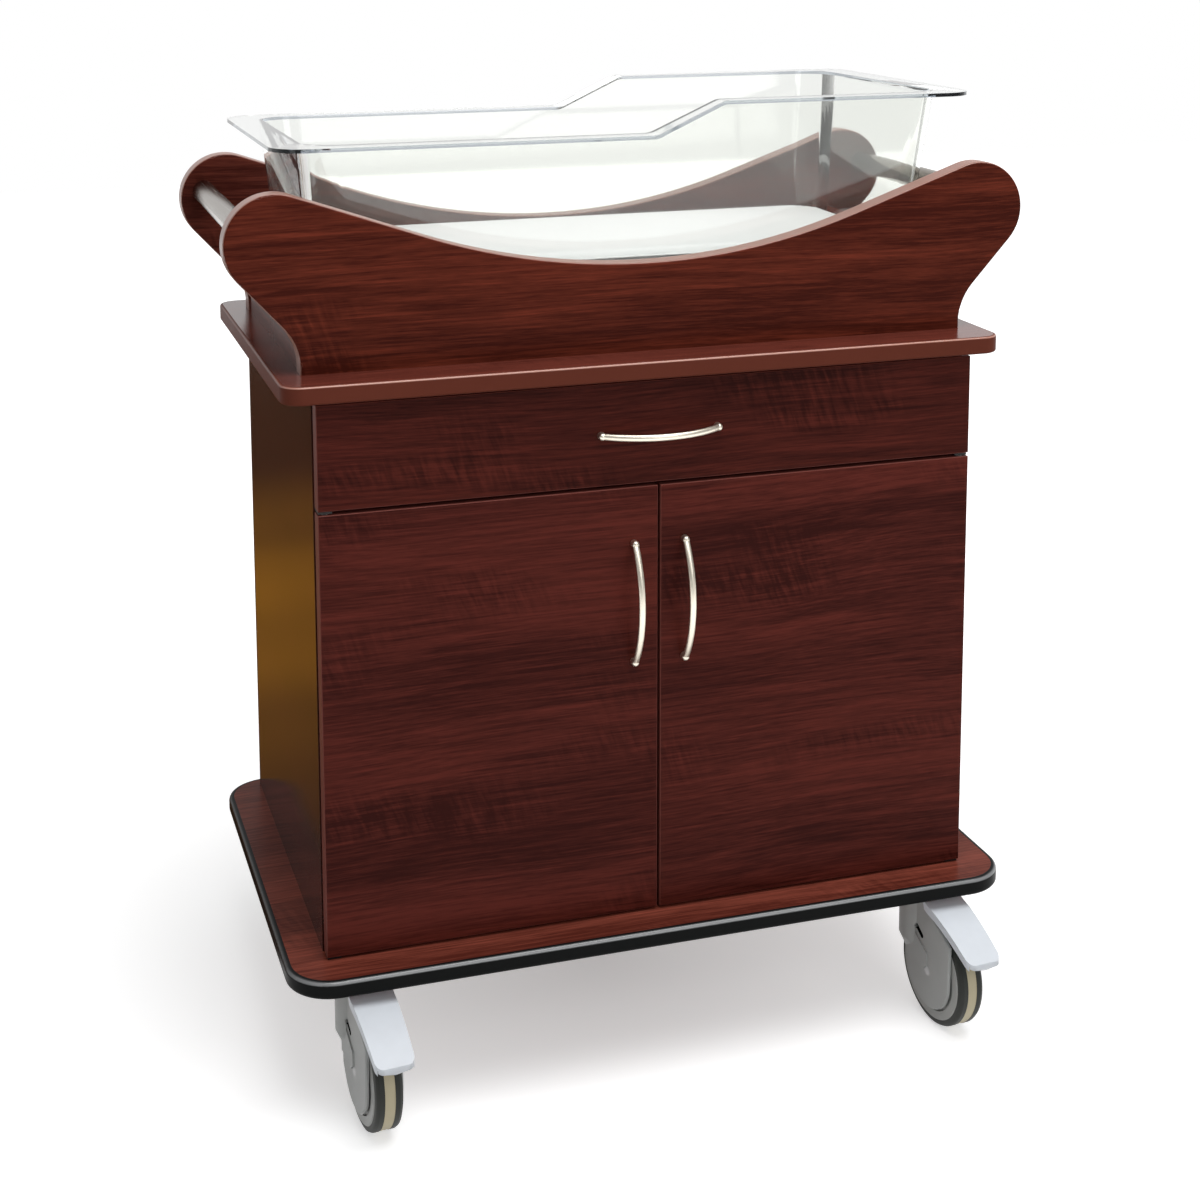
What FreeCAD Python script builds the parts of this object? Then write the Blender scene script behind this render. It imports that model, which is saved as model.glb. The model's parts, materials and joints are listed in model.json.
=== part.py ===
import FreeCAD, Part
import math
import os

# Hospital bassinet: a wheeled wooden cabinet with a drawer and two doors, a
# shaped cradle on its top board, and a clear lift-out tub with a mattress.
# Millimetres.  X runs along the front, -Y is the front, Z is up.  The origin
# is on the floor under the middle of the base board.

Vector = FreeCAD.Vector
X_AXIS = Vector(1, 0, 0)
Y_AXIS = Vector(0, 1, 0)
Z_AXIS = Vector(0, 0, 1)

os.makedirs("parts", exist_ok=True)

# ---------------------------------------------------------------- base board
base_length = 804.0            # over the bumper
base_depth = 502.0             # over the bumper
base_thickness = 19.0
base_corner_radius = 48.0      # over the bumper
bumper_thickness = 6.0
bumper_nose_radius = 5.0
barb_depth = 7.0               # the moulding's tongue in the board's edge
barb_height = 3.0
caster_height = 148.0          # floor to the underside of the base board

# ------------------------------------------------------------------- cabinet
cabinet_width = 720.0
cabinet_depth = 442.0          # door faces to the outside of the back
side_height = 584.0
carcass_panel = 18.0
back_thickness = 6.0
base_front_overhang = 44.0     # base board in front of the door faces
front_thickness = 18.0         # doors and drawer front
front_edge_radius = 1.2
front_side_reveal = 1.0        # fronts stop this far inside the cabinet width
door_standoff = 3.5            # door back to the carcass front edge
door_bottom_gap = 3.0
door_middle_gap = 3.0
drawer_door_gap = 4.0
drawer_top_gap = 3.0
drawer_front_height = 108.0
top_rail_width = 70.0
shelf_depth = 380.0
shelf_side_gap = 1.0
shelf_height = 232.0           # cupboard floor to the underside of the shelf
shelf_pin_diameter = 5.0
shelf_pin_length = 20.0
shelf_pin_set = 9.0            # length of a pin inside the side panel
shelf_pin_inset = 60.0         # from the shelf's front and back edges

# ----------------------------------------------------------------- top board
top_length = 786.0             # over the edging
top_depth = 468.0              # over the edging
top_thickness = 19.0
top_corner_radius = 22.0       # over the edging
top_front_overhang = 10.0      # in front of the door faces
edging_thickness = 3.0
edging_radius = 2.6

# -------------------------------------------------------------------- cradle
cradle_panel = 25.0
cradle_front_margin = 51.0     # top board edge to the front panel's face
cradle_rear_margin = 43.0
foot_inset = 27.0              # top board end to the foot of the panel
toe_height = 6.0
toe_radius = 64.0
lobe_radius = 52.0
lobe_centre_height = 132.0
lobe_reach = 440.0             # middle of the panel to the tip of the lobe
dip_height = 94.0
saddle_radius = 720.0
cradle_edge_radius = 2.5
end_panel_height = 90.0
end_panel_inset = 2.0          # outer face inside the foot of the side panels
bearer_height = 42.0
bearer_width = 36.0
bearer_offset = 210.0          # middle of the cradle to the middle of a bearer

rod_diameter = 25.0
rod_centre_offset = 414.0      # middle of the cradle to the rod
rod_centre_height = 142.0      # top board to the rod
rod_seat = 12.0                # depth of the blind holes in the panels

# ----------------------------------------------------------------- clear tub
tub_floor_length = 672.0
tub_floor_width = 272.0
tub_top_length = 718.0
tub_top_width = 320.0
tub_corner_radius = 40.0
tub_wall = 4.0
tub_floor_radius = 10.0
tub_depth = 218.0              # underside to the top of the head end rim
rim_step = 34.0                # head end above foot end
rim_step_start = 15.0          # from the middle towards the head
rim_step_run = 75.0
rim_end_width = 28.0
rim_side_width = 21.0
rim_corner_radius = 36.0
rim_bend_radius = 20.0
tub_seat_gap = 0.3

mattress_length = 656.0
mattress_width = 258.0
mattress_thickness = 53.0
mattress_corner_radius = 38.0
mattress_edge_radius = 10.0
mattress_seat_gap = 0.3

# -------------------------------------------------------------------- drawer
drawer_side_thickness = 12.0
drawer_side_height = 76.0
drawer_side_length = 380.0
drawer_side_rise = 12.0        # drawer front's lower edge to the box
drawer_bottom_thickness = 4.0
drawer_bottom_rise = 10.0
drawer_groove_depth = 6.0
slide_length = 380.0
slide_thickness = 12.7
slide_sheet = 1.2
slide_height = 45.0            # of the outer member
slide_play = 0.4               # between members, above and below
slide_outer_reach = 9.0        # web to flange tips
slide_middle_start = 3.0       # side panel to the middle member's web
slide_middle_reach = 8.0
slide_inner_reach = 6.5

# ------------------------------------------------------------------- handles
handle_centres = 128.0         # between the two feet
handle_bow = 27.0              # face to the middle of the bar at its middle
handle_foot_out = 5.0          # face to the middle of the bar at its feet
handle_bar_width = 7.0
handle_bar_thickness = 5.6
handle_foot_diameter = 8.0
door_handle_offset = 28.0      # middle of the cabinet to the bar
door_handle_drop = 124.0       # door's top edge to the middle of the bar

# ------------------------------------------------- pivot hinges of the doors
pivot_side_inset = 8.0         # door's outer edge to the pin
pivot_face_inset = 8.0         # door face to the pin
pivot_pin_diameter = 5.0
pivot_pin_engagement = 10.0
pivot_bush_diameter = 8.0
pivot_bush_length = 12.0
pivot_bush_clearance = 0.05    # radial
pivot_plate_thickness = 2.0
pivot_plate_width = 14.0
pivot_leaf_height = 40.0
pivot_foot_depth = 34.0
pivot_door_clearance = 1.0     # plate to door edge

catch_width = 46.0
catch_depth = 24.0
catch_height = 12.0
catch_offset = 40.0            # middle of the cabinet to the catch

# ------------------------------------------------------------------- casters
swivel_offset_x = 323.0
swivel_offset_y = 195.0
caster_rest_angle = 5.0        # trail direction off the cabinet's depth axis
wheel_diameter = 120.0
wheel_width = 31.0
wheel_trail = 40.0             # swivel axis to the axle
rim_radius = 53.0              # outside of the wheel's plastic centre
tread_shoulder = 4.0
stripe_width = 11.0
stripe_depth = 0.4
web_recess = 2.5               # wheel centre inside its rim
axle_diameter = 10.0
axle_clearance = 0.05          # radial
plate_thickness = 3.0
plate_length = 60.0
plate_width = 70.0
kingpin_diameter = 12.0
kingpin_length = 26.0
kingpin_clearance = 0.05       # radial
fork_plate_gap = 0.5
housing_radius = 27.0
housing_skirt_height = 84.0    # floor to the lower edge of the round housing
housing_cone_height = 62.0     # floor to the lower end of its taper
housing_cone_radius = 17.0     # at the lower end of its taper
cheek_half_width = 20.0
cheek_round_radius = 41.0
cheek_edge_radius = 2.0
shoulder_step = 1.6
wheel_side_clearance = 1.0
wheel_tread_clearance = 3.0
fork_nose_reach = 82.0         # swivel axis to the front tip of the cheeks
fork_nose_height = 107.0
fork_crown_reach = 14.0
fork_brow_reach = 40.0
fork_brow_height = 131.0
slot_width = 6.0
slot_length = 18.0
slot_reach = 23.5
slot_height = 99.5
slot_slope = 34.0              # degrees below level

pedal_thickness = 3.0
pedal_skirt_thickness = 2.0
pedal_skirt_gap = 1.0          # skirt to the fork's cheek
pedal_skirt_depth = 6.0
pedal_start_reach = 27.0
pedal_tip_reach = 123.0
pedal_crown_height = 143.0
pedal_brow_reach = 42.0
pedal_brow_height = 138.4
pedal_knee_reach = 60.0
pedal_knee_height = 130.6
pedal_tip_height = 102.0
pedal_lip_depth = 3.0
pedal_corner_radius = 9.0
pedal_pin_diameter = 5.0
pedal_pin_clearance = 0.05     # radial
pedal_pin_reach = 34.0
pedal_pin_height = 128.0
pedal_lug_width = 16.0
pedal_lug_radius = 5.0
pedal_lug_gap = 0.5            # lug to the slot in the fork
pedal_press_angle = 6.0
shoe_start_reach = 64.0
shoe_length = 16.0
shoe_half_width = 12.0
shoe_clearance = 0.5           # to the tyre with the pedal pressed

# ------------------------------------------------------------------- levels
base_top = caster_height + base_thickness
carcass_top = base_top + side_height
deck = carcass_top + top_thickness
door_bottom = base_top + door_bottom_gap
drawer_front_top = carcass_top - drawer_top_gap
drawer_front_bottom = drawer_front_top - drawer_front_height
door_top = drawer_front_bottom - drawer_door_gap
door_height = door_top - door_bottom
front_face = base_front_overhang - base_depth / 2
front_back = front_face + front_thickness
carcass_front = front_back + door_standoff
carcass_back = front_face + cabinet_depth
half_cabinet = cabinet_width / 2
inside_half = half_cabinet - carcass_panel
front_half = half_cabinet - front_side_reveal


# ------------------------------------------------------------------ helpers
def box(x0, x1, y0, y1, z0, z1):
    """A box between two corners."""
    return Part.makeBox(x1 - x0, y1 - y0, z1 - z0, Vector(x0, y0, z0))


def cylinder(radius, start, direction, length):
    """A cylinder from a start point along a direction."""
    return Part.makeCylinder(radius, length, Vector(*start), direction)


def mirrored(shape, normal=X_AXIS):
    """The shape's mirror image about a plane through the origin."""
    return shape.mirror(Vector(0, 0, 0), normal)


def polygon_face(points):
    """A flat face through 3D points."""
    corners = [Vector(*point) for point in points]
    return Part.Face(Part.makePolygon(corners + corners[:1]))


def rounded_wire(length, width, radius, z, centre_y=0.0):
    """A closed rounded rectangle lying level at height z."""
    half_x = length / 2
    half_y = width / 2
    edges = []
    sides = [
        ((-half_x + radius, -half_y), (half_x - radius, -half_y)),
        ((half_x, -half_y + radius), (half_x, half_y - radius)),
        ((half_x - radius, half_y), (-half_x + radius, half_y)),
        ((-half_x, half_y - radius), (-half_x, -half_y + radius)),
    ]
    for number, (start, end) in enumerate(sides):
        following = sides[(number + 1) % 4][0]
        corner_x = math.copysign(half_x - radius, end[0] + following[0])
        corner_y = math.copysign(half_y - radius, end[1] + following[1])
        middle_x = corner_x + math.copysign(radius * math.sqrt(0.5), corner_x)
        middle_y = corner_y + math.copysign(radius * math.sqrt(0.5), corner_y)
        first = Vector(start[0], start[1] + centre_y, z)
        second = Vector(end[0], end[1] + centre_y, z)
        third = Vector(following[0], following[1] + centre_y, z)
        middle = Vector(middle_x, middle_y + centre_y, z)
        edges.append(Part.makeLine(first, second))
        edges.append(Part.Arc(second, middle, third).toShape())
    return Part.Wire(edges)


def rounded_block(length, width, radius, z, height, centre_y=0.0):
    """An upright block with a rounded rectangle as its plan."""
    outline = rounded_wire(length, width, radius, z, centre_y)
    return Part.Face(outline).extrude(Z_AXIS * height)


def level_edges(shape, z, tolerance=0.01):
    """The edges of a shape that lie wholly at height z."""
    found = []
    for edge in shape.Edges:
        bounds = edge.BoundBox
        if abs(bounds.ZMin - z) < tolerance and abs(bounds.ZMax - z) < tolerance:
            found.append(edge)
    return found


def plane_edges(shape, axis, value, tolerance=0.01):
    """The edges of a shape that lie wholly in one plane across an axis."""
    found = []
    for edge in shape.Edges:
        bounds = edge.BoundBox
        low = getattr(bounds, axis + "Min")
        high = getattr(bounds, axis + "Max")
        if abs(low - value) < tolerance and abs(high - value) < tolerance:
            found.append(edge)
    return found


def save(name, *shapes):
    """Write one node's solids to its STEP file."""
    if len(shapes) == 1:
        result = shapes[0]
    else:
        result = Part.makeCompound(list(shapes))
    if not result.isValid():
        raise ValueError(name + " is not a valid shape")
    result.exportStep("parts/" + name + ".step")


# --------------------------------------------------- base board and bumper
def make_base():
    """The base board and the T-moulding pressed into its edge."""
    board_length = base_length - 2 * bumper_thickness
    board_depth = base_depth - 2 * bumper_thickness
    board_radius = base_corner_radius - bumper_thickness
    board = rounded_block(board_length, board_depth, board_radius,
                          caster_height, base_thickness)
    barb_z = caster_height + (base_thickness - barb_height) / 2
    barb_outside = rounded_block(board_length, board_depth, board_radius,
                                 barb_z, barb_height)
    barb_inside = rounded_block(board_length - 2 * barb_depth,
                                board_depth - 2 * barb_depth,
                                board_radius - barb_depth,
                                barb_z, barb_height)
    barb = barb_outside.cut(barb_inside)
    nose = rounded_block(base_length, base_depth, base_corner_radius,
                         caster_height, base_thickness)
    rims = level_edges(nose, caster_height) + level_edges(nose, base_top)
    nose = nose.makeFillet(bumper_nose_radius, rims)
    bumper = nose.cut(board).fuse(barb).removeSplitter()
    return board.cut(barb), bumper


base_board, base_bumper = make_base()
save("base_board", base_board)
save("base_bumper", base_bumper)


# ------------------------------------------------------------------ carcass
side_depth = carcass_back - back_thickness - carcass_front
divider_middle = (door_top + drawer_front_bottom) / 2
divider_bottom = divider_middle - carcass_panel / 2
floor_top = base_top + carcass_panel
shelf_bottom = floor_top + shelf_height
shelf_front = carcass_back - back_thickness - shelf_depth
pivot_x = front_half - pivot_side_inset
pivot_y = front_face + pivot_face_inset
pivot_tongue_z = door_top + pivot_door_clearance


def shelf_pin(x_start, y):
    """A shelf pin that runs along X from its seat in a side panel."""
    centre = (x_start, y, shelf_bottom - shelf_pin_diameter / 2)
    return cylinder(shelf_pin_diameter / 2, centre, X_AXIS, shelf_pin_length)


def make_shelf_pins():
    """Four pins: two in each side panel under the shelf."""
    pins = []
    for y in (shelf_front + shelf_pin_inset,
              carcass_back - back_thickness - shelf_pin_inset):
        left = shelf_pin(-inside_half - shelf_pin_set, y)
        pins.append(left)
        pins.append(mirrored(left))
    return pins


def upper_pivot_leaf():
    """The bracket's upright leaf, let into the front edge of the left side."""
    leaf_x = -half_cabinet + (carcass_panel - pivot_plate_width) / 2
    return box(leaf_x, leaf_x + pivot_plate_width,
               carcass_front, carcass_front + pivot_plate_thickness,
               pivot_tongue_z + pivot_plate_thickness - pivot_leaf_height,
               pivot_tongue_z + pivot_plate_thickness)


def make_side(pins):
    """The left side panel with its pin holes and bracket recess."""
    panel = box(-half_cabinet, -inside_half,
                carcass_front, carcass_front + side_depth,
                base_top, carcass_top)
    for pin in pins:
        panel = panel.cut(pin)
    return panel.cut(upper_pivot_leaf())


shelf_pins = make_shelf_pins()
side_panel_left = make_side(shelf_pins)
save("side_panel_left", side_panel_left)
save("side_panel_right", mirrored(side_panel_left))
save("shelf_pins", *shelf_pins)
save("back_panel", box(-half_cabinet, half_cabinet,
                       carcass_back - back_thickness, carcass_back,
                       base_top, carcass_top))
save("cabinet_floor", box(-inside_half, inside_half,
                          carcass_front, carcass_back - back_thickness,
                          base_top, floor_top))
save("drawer_divider", box(-inside_half, inside_half,
                           carcass_front, carcass_back - back_thickness,
                           divider_bottom, divider_bottom + carcass_panel))
save("shelf", box(-inside_half + shelf_side_gap, inside_half - shelf_side_gap,
                  shelf_front, carcass_back - back_thickness,
                  shelf_bottom, shelf_bottom + carcass_panel))


def top_rail(y_start):
    """A rail under the top board, from one side panel to the other."""
    return box(-inside_half, inside_half, y_start, y_start + top_rail_width,
               carcass_top - carcass_panel, carcass_top)


save("top_rails", top_rail(carcass_front),
     top_rail(carcass_back - back_thickness - top_rail_width))


# --------------------------------------------------- top board and edging
top_front = front_face - top_front_overhang
top_rear = top_front + top_depth
top_middle = (top_front + top_rear) / 2


def make_top():
    """The top board and the rounded edging round it."""
    board = rounded_block(top_length - 2 * edging_thickness,
                          top_depth - 2 * edging_thickness,
                          top_corner_radius - edging_thickness,
                          carcass_top, top_thickness, top_middle)
    band = rounded_block(top_length, top_depth, top_corner_radius,
                         carcass_top, top_thickness, top_middle)
    rims = level_edges(band, carcass_top) + level_edges(band, deck)
    band = band.makeFillet(edging_radius, rims)
    return board, band.cut(board)


top_board, top_edging = make_top()
save("top_board", top_board)
save("top_edging", top_edging)


# ------------------------------------------------------------------- cradle
foot_half = top_length / 2 - foot_inset
cradle_front = top_front + cradle_front_margin
cradle_rear = top_rear - cradle_rear_margin
cradle_inner_front = cradle_front + cradle_panel
cradle_inner_rear = cradle_rear - cradle_panel
cradle_middle = (cradle_front + cradle_rear) / 2


def cross_tangent(centre_a, radius_a, centre_b, radius_b, turn):
    """Where a line that crosses between two circles touches each of them."""
    gap_x = centre_b[0] - centre_a[0]
    gap_z = centre_b[1] - centre_a[1]
    spread = math.acos((radius_a + radius_b) / math.hypot(gap_x, gap_z))
    angle = math.atan2(gap_z, gap_x) + turn * spread
    normal_x = math.cos(angle)
    normal_z = math.sin(angle)
    on_a = (centre_a[0] + radius_a * normal_x, centre_a[1] + radius_a * normal_z)
    on_b = (centre_b[0] - radius_b * normal_x, centre_b[1] - radius_b * normal_z)
    return on_a, on_b


def cradle_outline(y):
    """The closed outline of a cradle side panel in the plane at y."""
    toe = (foot_half + toe_radius, toe_height)
    lobe = (lobe_reach - lobe_radius, lobe_centre_height)
    saddle = (0.0, dip_height + saddle_radius)
    toe_end, lobe_start = cross_tangent(toe, toe_radius, lobe, lobe_radius, 1)
    lobe_end, saddle_end = cross_tangent(lobe, lobe_radius,
                                         saddle, saddle_radius, -1)
    toe_turn = math.atan2(toe_end[1] - toe[1], toe_end[0] - toe[0])
    toe_angle = (math.pi + toe_turn) / 2
    toe_middle = (toe[0] + toe_radius * math.cos(toe_angle),
                  toe[1] + toe_radius * math.sin(toe_angle))
    lobe_tip = (lobe_reach, lobe_centre_height)

    def point(pair, side=1):
        return Vector(side * pair[0], y, deck + pair[1])

    edges = [Part.makeLine(point((-foot_half, 0)), point((foot_half, 0)))]
    for side in (1, -1):
        foot = (foot_half, 0)
        toe_start = (foot_half, toe_height)
        edges.append(Part.makeLine(point(foot, side), point(toe_start, side)))
        edges.append(Part.Arc(point(toe_start, side), point(toe_middle, side),
                              point(toe_end, side)).toShape())
        edges.append(Part.makeLine(point(toe_end, side),
                                   point(lobe_start, side)))
        edges.append(Part.Arc(point(lobe_start, side), point(lobe_tip, side),
                              point(lobe_end, side)).toShape())
        edges.append(Part.makeLine(point(lobe_end, side),
                                   point(saddle_end, side)))
    edges.append(Part.Arc(point(saddle_end), point((0, dip_height)),
                          point(saddle_end, -1)).toShape())
    return Part.Wire(Part.__sortEdges__(edges))


def rod(x):
    """A push rod with its ends inside the blind holes of the panels."""
    start = (x, cradle_inner_front - rod_seat, deck + rod_centre_height)
    length = cradle_inner_rear - cradle_inner_front + 2 * rod_seat
    return cylinder(rod_diameter / 2, start, Y_AXIS, length)


def cradle_side(y):
    """A shaped side panel with softened edges, from y to y + thickness."""
    panel = Part.Face(cradle_outline(y)).extrude(Y_AXIS * cradle_panel)
    rims = []
    for edge in plane_edges(panel, "Y", y) + plane_edges(panel, "Y", y + cradle_panel):
        if edge.BoundBox.ZMax > deck + 1 and edge.BoundBox.ZMin > deck + 1:
            rims.append(edge)
    return panel.makeFillet(cradle_edge_radius, rims)


def end_panel():
    """The left end board of the cradle."""
    outer = -foot_half + end_panel_inset
    return box(outer, outer + carcass_panel,
               cradle_inner_front, cradle_inner_rear,
               deck, deck + end_panel_height)


def bearer(x):
    """A cross batten that the tub stands on."""
    return box(x - bearer_width / 2, x + bearer_width / 2,
               cradle_inner_front, cradle_inner_rear,
               deck, deck + bearer_height)


rod_left = rod(-rod_centre_offset)
rod_right = rod(rod_centre_offset)
cradle_side_front = cradle_side(cradle_front).cut(rod_left).cut(rod_right)
cradle_side_rear = cradle_side(cradle_inner_rear).cut(rod_left).cut(rod_right)
save("push_rod_left", rod_left)
save("push_rod_right", rod_right)
save("cradle_side_front", cradle_side_front)
save("cradle_side_rear", cradle_side_rear)
save("cradle_end_left", end_panel())
save("cradle_end_right", mirrored(end_panel()))
save("tub_bearers", bearer(-bearer_offset), bearer(bearer_offset))


# ---------------------------------------------------------------------- tub
tub_bottom = deck + bearer_height + tub_seat_gap
tub_top = tub_bottom + tub_depth
rim_length = tub_top_length + 2 * rim_end_width
rim_width = tub_top_width + 2 * rim_side_width


def tapered_block(inset, floor_z, floor_radius):
    """The tub's tapered outside, or its hollow when inset by the wall."""
    levels = [(tub_floor_length, tub_floor_width, floor_z),
              (tub_top_length, tub_top_width, tub_top + 1)]
    rings = []
    for length, width, z in levels:
        half_x = length / 2 - inset
        half_y = width / 2 - inset
        rings.append([(side_x * half_x, cradle_middle + side_y * half_y, z)
                      for side_x, side_y in ((-1, -1), (1, -1), (1, 1), (-1, 1))])
    lower, upper = rings
    faces = [polygon_face(lower[::-1]), polygon_face(upper)]
    for number in range(4):
        following = (number + 1) % 4
        faces.append(polygon_face([lower[number], lower[following],
                                   upper[following], upper[number]]))
    walls = Part.makeShell(faces)
    walls.sewShape()
    block = Part.makeSolid(walls)
    upright = [edge for edge in block.Edges
               if edge.BoundBox.ZLength > tub_depth / 2]
    block = block.makeFillet(tub_corner_radius - inset, upright)
    return block.makeFillet(floor_radius, level_edges(block, floor_z))


def rim_path(drop):
    """The stepped side view of the rim, lowered by a drop, as X, Z points."""
    low = tub_top - rim_step - drop
    high = tub_top - drop
    return [(-rim_length, low), (rim_step_start, low),
            (rim_step_start + rim_step_run, high), (rim_length, high)]


def stepped_prism(lower_edge, upper_edge, width, bends):
    """A prism across Y between two stepped lines, with its bends rounded."""
    outline = lower_edge + upper_edge[::-1]
    start_y = cradle_middle - width / 2
    face = polygon_face([(x, start_y, z) for x, z in outline])
    prism = face.extrude(Y_AXIS * width)
    rounded = []
    for edge in prism.Edges:
        bounds = edge.BoundBox
        if bounds.YLength < width - 1:
            continue
        for x, z in bends:
            if abs(bounds.XMin - x) < 0.01 and abs(bounds.ZMin - z) < 0.01:
                rounded.append(edge)
    return prism.makeFillet(rim_bend_radius, rounded)


def make_tub():
    """A thin-walled tub with a wide flat rim that steps up at the head."""
    outside = tapered_block(0.0, tub_bottom, tub_floor_radius)
    hollow = tapered_block(tub_wall, tub_bottom + tub_wall,
                           tub_floor_radius - tub_wall)
    top_line = rim_path(0.0)
    under_line = rim_path(tub_wall)
    floor_line = [(-rim_length, tub_bottom - 1), (rim_length, tub_bottom - 1)]
    below_rim = stepped_prism(floor_line, top_line, 2 * rim_width, top_line[1:3])
    band = stepped_prism(under_line, top_line, 2 * rim_width,
                         top_line[1:3] + under_line[1:3])
    plan = rounded_block(rim_length, rim_width, rim_corner_radius,
                         tub_bottom, tub_depth + 1, cradle_middle)
    flange = band.common(plan)
    shell = outside.common(below_rim).fuse(flange)
    return shell.cut(hollow).removeSplitter()


tub = make_tub()
save("tub", tub)

mattress_bottom = tub_bottom + tub_wall + mattress_seat_gap
mattress = rounded_block(mattress_length, mattress_width,
                         mattress_corner_radius, mattress_bottom,
                         mattress_thickness, cradle_middle)
mattress_rims = level_edges(mattress, mattress_bottom)
mattress_rims += level_edges(mattress, mattress_bottom + mattress_thickness)
save("mattress", mattress.makeFillet(mattress_edge_radius, mattress_rims))


# ------------------------------------------------------------- bow handles
def bow_handle():
    """A bow handle at the origin: it stands off -Y and runs along Z."""
    half = handle_centres / 2
    lower = Vector(0, -handle_foot_out, -half)
    middle = Vector(0, -handle_bow, 0)
    upper = Vector(0, -handle_foot_out, half)
    path = Part.Wire([Part.Arc(lower, middle, upper).toShape()])
    direction = path.Edges[0].tangentAt(path.Edges[0].FirstParameter)
    section = Part.Ellipse(Vector(0, 0, 0), handle_bar_width / 2,
                           handle_bar_thickness / 2).toShape()
    section.rotate(Vector(0, 0, 0), X_AXIS,
                   math.degrees(math.atan2(-direction.y, direction.z)))
    section.translate(lower)
    bar = path.makePipeShell([Part.Wire([section])], True, True)
    for z in (-half, half):
        foot = cylinder(handle_foot_diameter / 2, (0, 0, z),
                        -Y_AXIS, handle_foot_out)
        cap = Part.makeSphere(handle_foot_diameter / 2,
                              Vector(0, -handle_foot_out, z))
        bar = bar.fuse(foot).fuse(cap)
    behind_face = box(-half, half, 0, half, -2 * half, 2 * half)
    return bar.cut(behind_face).removeSplitter()


def placed_handle(x, z, level):
    """A bow handle on a front; level ones run along X."""
    handle = bow_handle()
    if level:
        handle.rotate(Vector(0, 0, 0), Y_AXIS, 90)
    handle.translate(Vector(x, front_face, z))
    return handle


drawer_front_middle = drawer_front_bottom + drawer_front_height / 2
door_handle_z = door_top - door_handle_drop
save("drawer_handle", placed_handle(0.0, drawer_front_middle, True))
save("door_left_handle",
     placed_handle(-door_handle_offset, door_handle_z, False))
save("door_right_handle",
     placed_handle(door_handle_offset, door_handle_z, False))


# ----------------------------------------------------------------- drawer
box_half = inside_half - slide_thickness
drawer_box_bottom = drawer_front_bottom + drawer_side_rise
drawer_box_top = drawer_box_bottom + drawer_side_height
drawer_box_back = front_back + drawer_side_length
groove_bottom = drawer_box_bottom + drawer_bottom_rise
groove_top = groove_bottom + drawer_bottom_thickness
slide_middle_z = (drawer_box_bottom + drawer_box_top) / 2


def softened_front(x0, x1, z0, z1):
    """A front board with softly rounded edges on its face."""
    board = box(x0, x1, front_face, front_back, z0, z1)
    return board.makeFillet(front_edge_radius,
                            plane_edges(board, "Y", front_face))


def drawer_bottom_board():
    """The thin bottom with its edges in the grooves of the box."""
    inner = box_half - drawer_side_thickness + drawer_groove_depth
    return box(-inner, inner,
               front_back + drawer_side_thickness - drawer_groove_depth,
               drawer_box_back - drawer_side_thickness + drawer_groove_depth,
               groove_bottom, groove_top)


drawer_bottom = drawer_bottom_board()
drawer_side_left = box(-box_half, -box_half + drawer_side_thickness,
                       front_back, drawer_box_back,
                       drawer_box_bottom, drawer_box_top).cut(drawer_bottom)
save("drawer_front", softened_front(-front_half, front_half,
                                    drawer_front_bottom, drawer_front_top))
save("drawer_sides", drawer_side_left, mirrored(drawer_side_left))
save("drawer_bottom", drawer_bottom)


def drawer_cross_board(y_start):
    """A board of the drawer box between its two sides."""
    inner = box_half - drawer_side_thickness
    board = box(-inner, inner, y_start, y_start + drawer_side_thickness,
                drawer_box_bottom, drawer_box_top)
    return board.cut(drawer_bottom)


save("drawer_box_front", drawer_cross_board(front_back))
save("drawer_box_back",
     drawer_cross_board(drawer_box_back - drawer_side_thickness))


def slide_channel(wall_x, reach, height):
    """A C-shaped slide member along Y; its web stands at wall_x."""
    start = carcass_front
    end = start + slide_length
    low = slide_middle_z - height / 2
    high = slide_middle_z + height / 2
    side = math.copysign(1, reach)
    tip_x = wall_x + reach
    body = box(min(wall_x, tip_x), max(wall_x, tip_x), start, end, low, high)
    inner_x = wall_x + side * slide_sheet
    open_x = tip_x + side
    hollow = box(min(inner_x, open_x), max(inner_x, open_x), start, end,
                 low + slide_sheet, high - slide_sheet)
    return body.cut(hollow)


member_step = 2 * (slide_sheet + slide_play)
slide_outer = slide_channel(-inside_half, slide_outer_reach, slide_height)
slide_middle = slide_channel(-inside_half + slide_middle_start,
                             slide_middle_reach, slide_height - member_step)
slide_inner = slide_channel(-box_half, -slide_inner_reach,
                            slide_height - 2 * member_step)
save("slide_outer", slide_outer, mirrored(slide_outer))
save("slide_middle", slide_middle, mirrored(slide_middle))
save("slide_inner", slide_inner, mirrored(slide_inner))


# ------------------------------------------------------------------- doors
def pivot_pin(z_start, length):
    """The steel pin of a left hinge."""
    return cylinder(pivot_pin_diameter / 2, (-pivot_x, pivot_y, z_start),
                    Z_AXIS, length)


def tongue(y_end, z):
    """The flat tongue that carries a pin in the gap beside the door."""
    leaf_x = -half_cabinet + (carcass_panel - pivot_plate_width) / 2
    return box(leaf_x, leaf_x + pivot_plate_width,
               pivot_y - pivot_pin_diameter, y_end,
               z, z + pivot_plate_thickness)


def upper_pivot():
    """Leaf, tongue and pin above the left door."""
    arm = tongue(carcass_front + pivot_plate_thickness, pivot_tongue_z)
    reach = pivot_pin_engagement + pivot_door_clearance
    pin = pivot_pin(pivot_tongue_z - reach, reach)
    return upper_pivot_leaf().fuse(arm).fuse(pin).removeSplitter()


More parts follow.
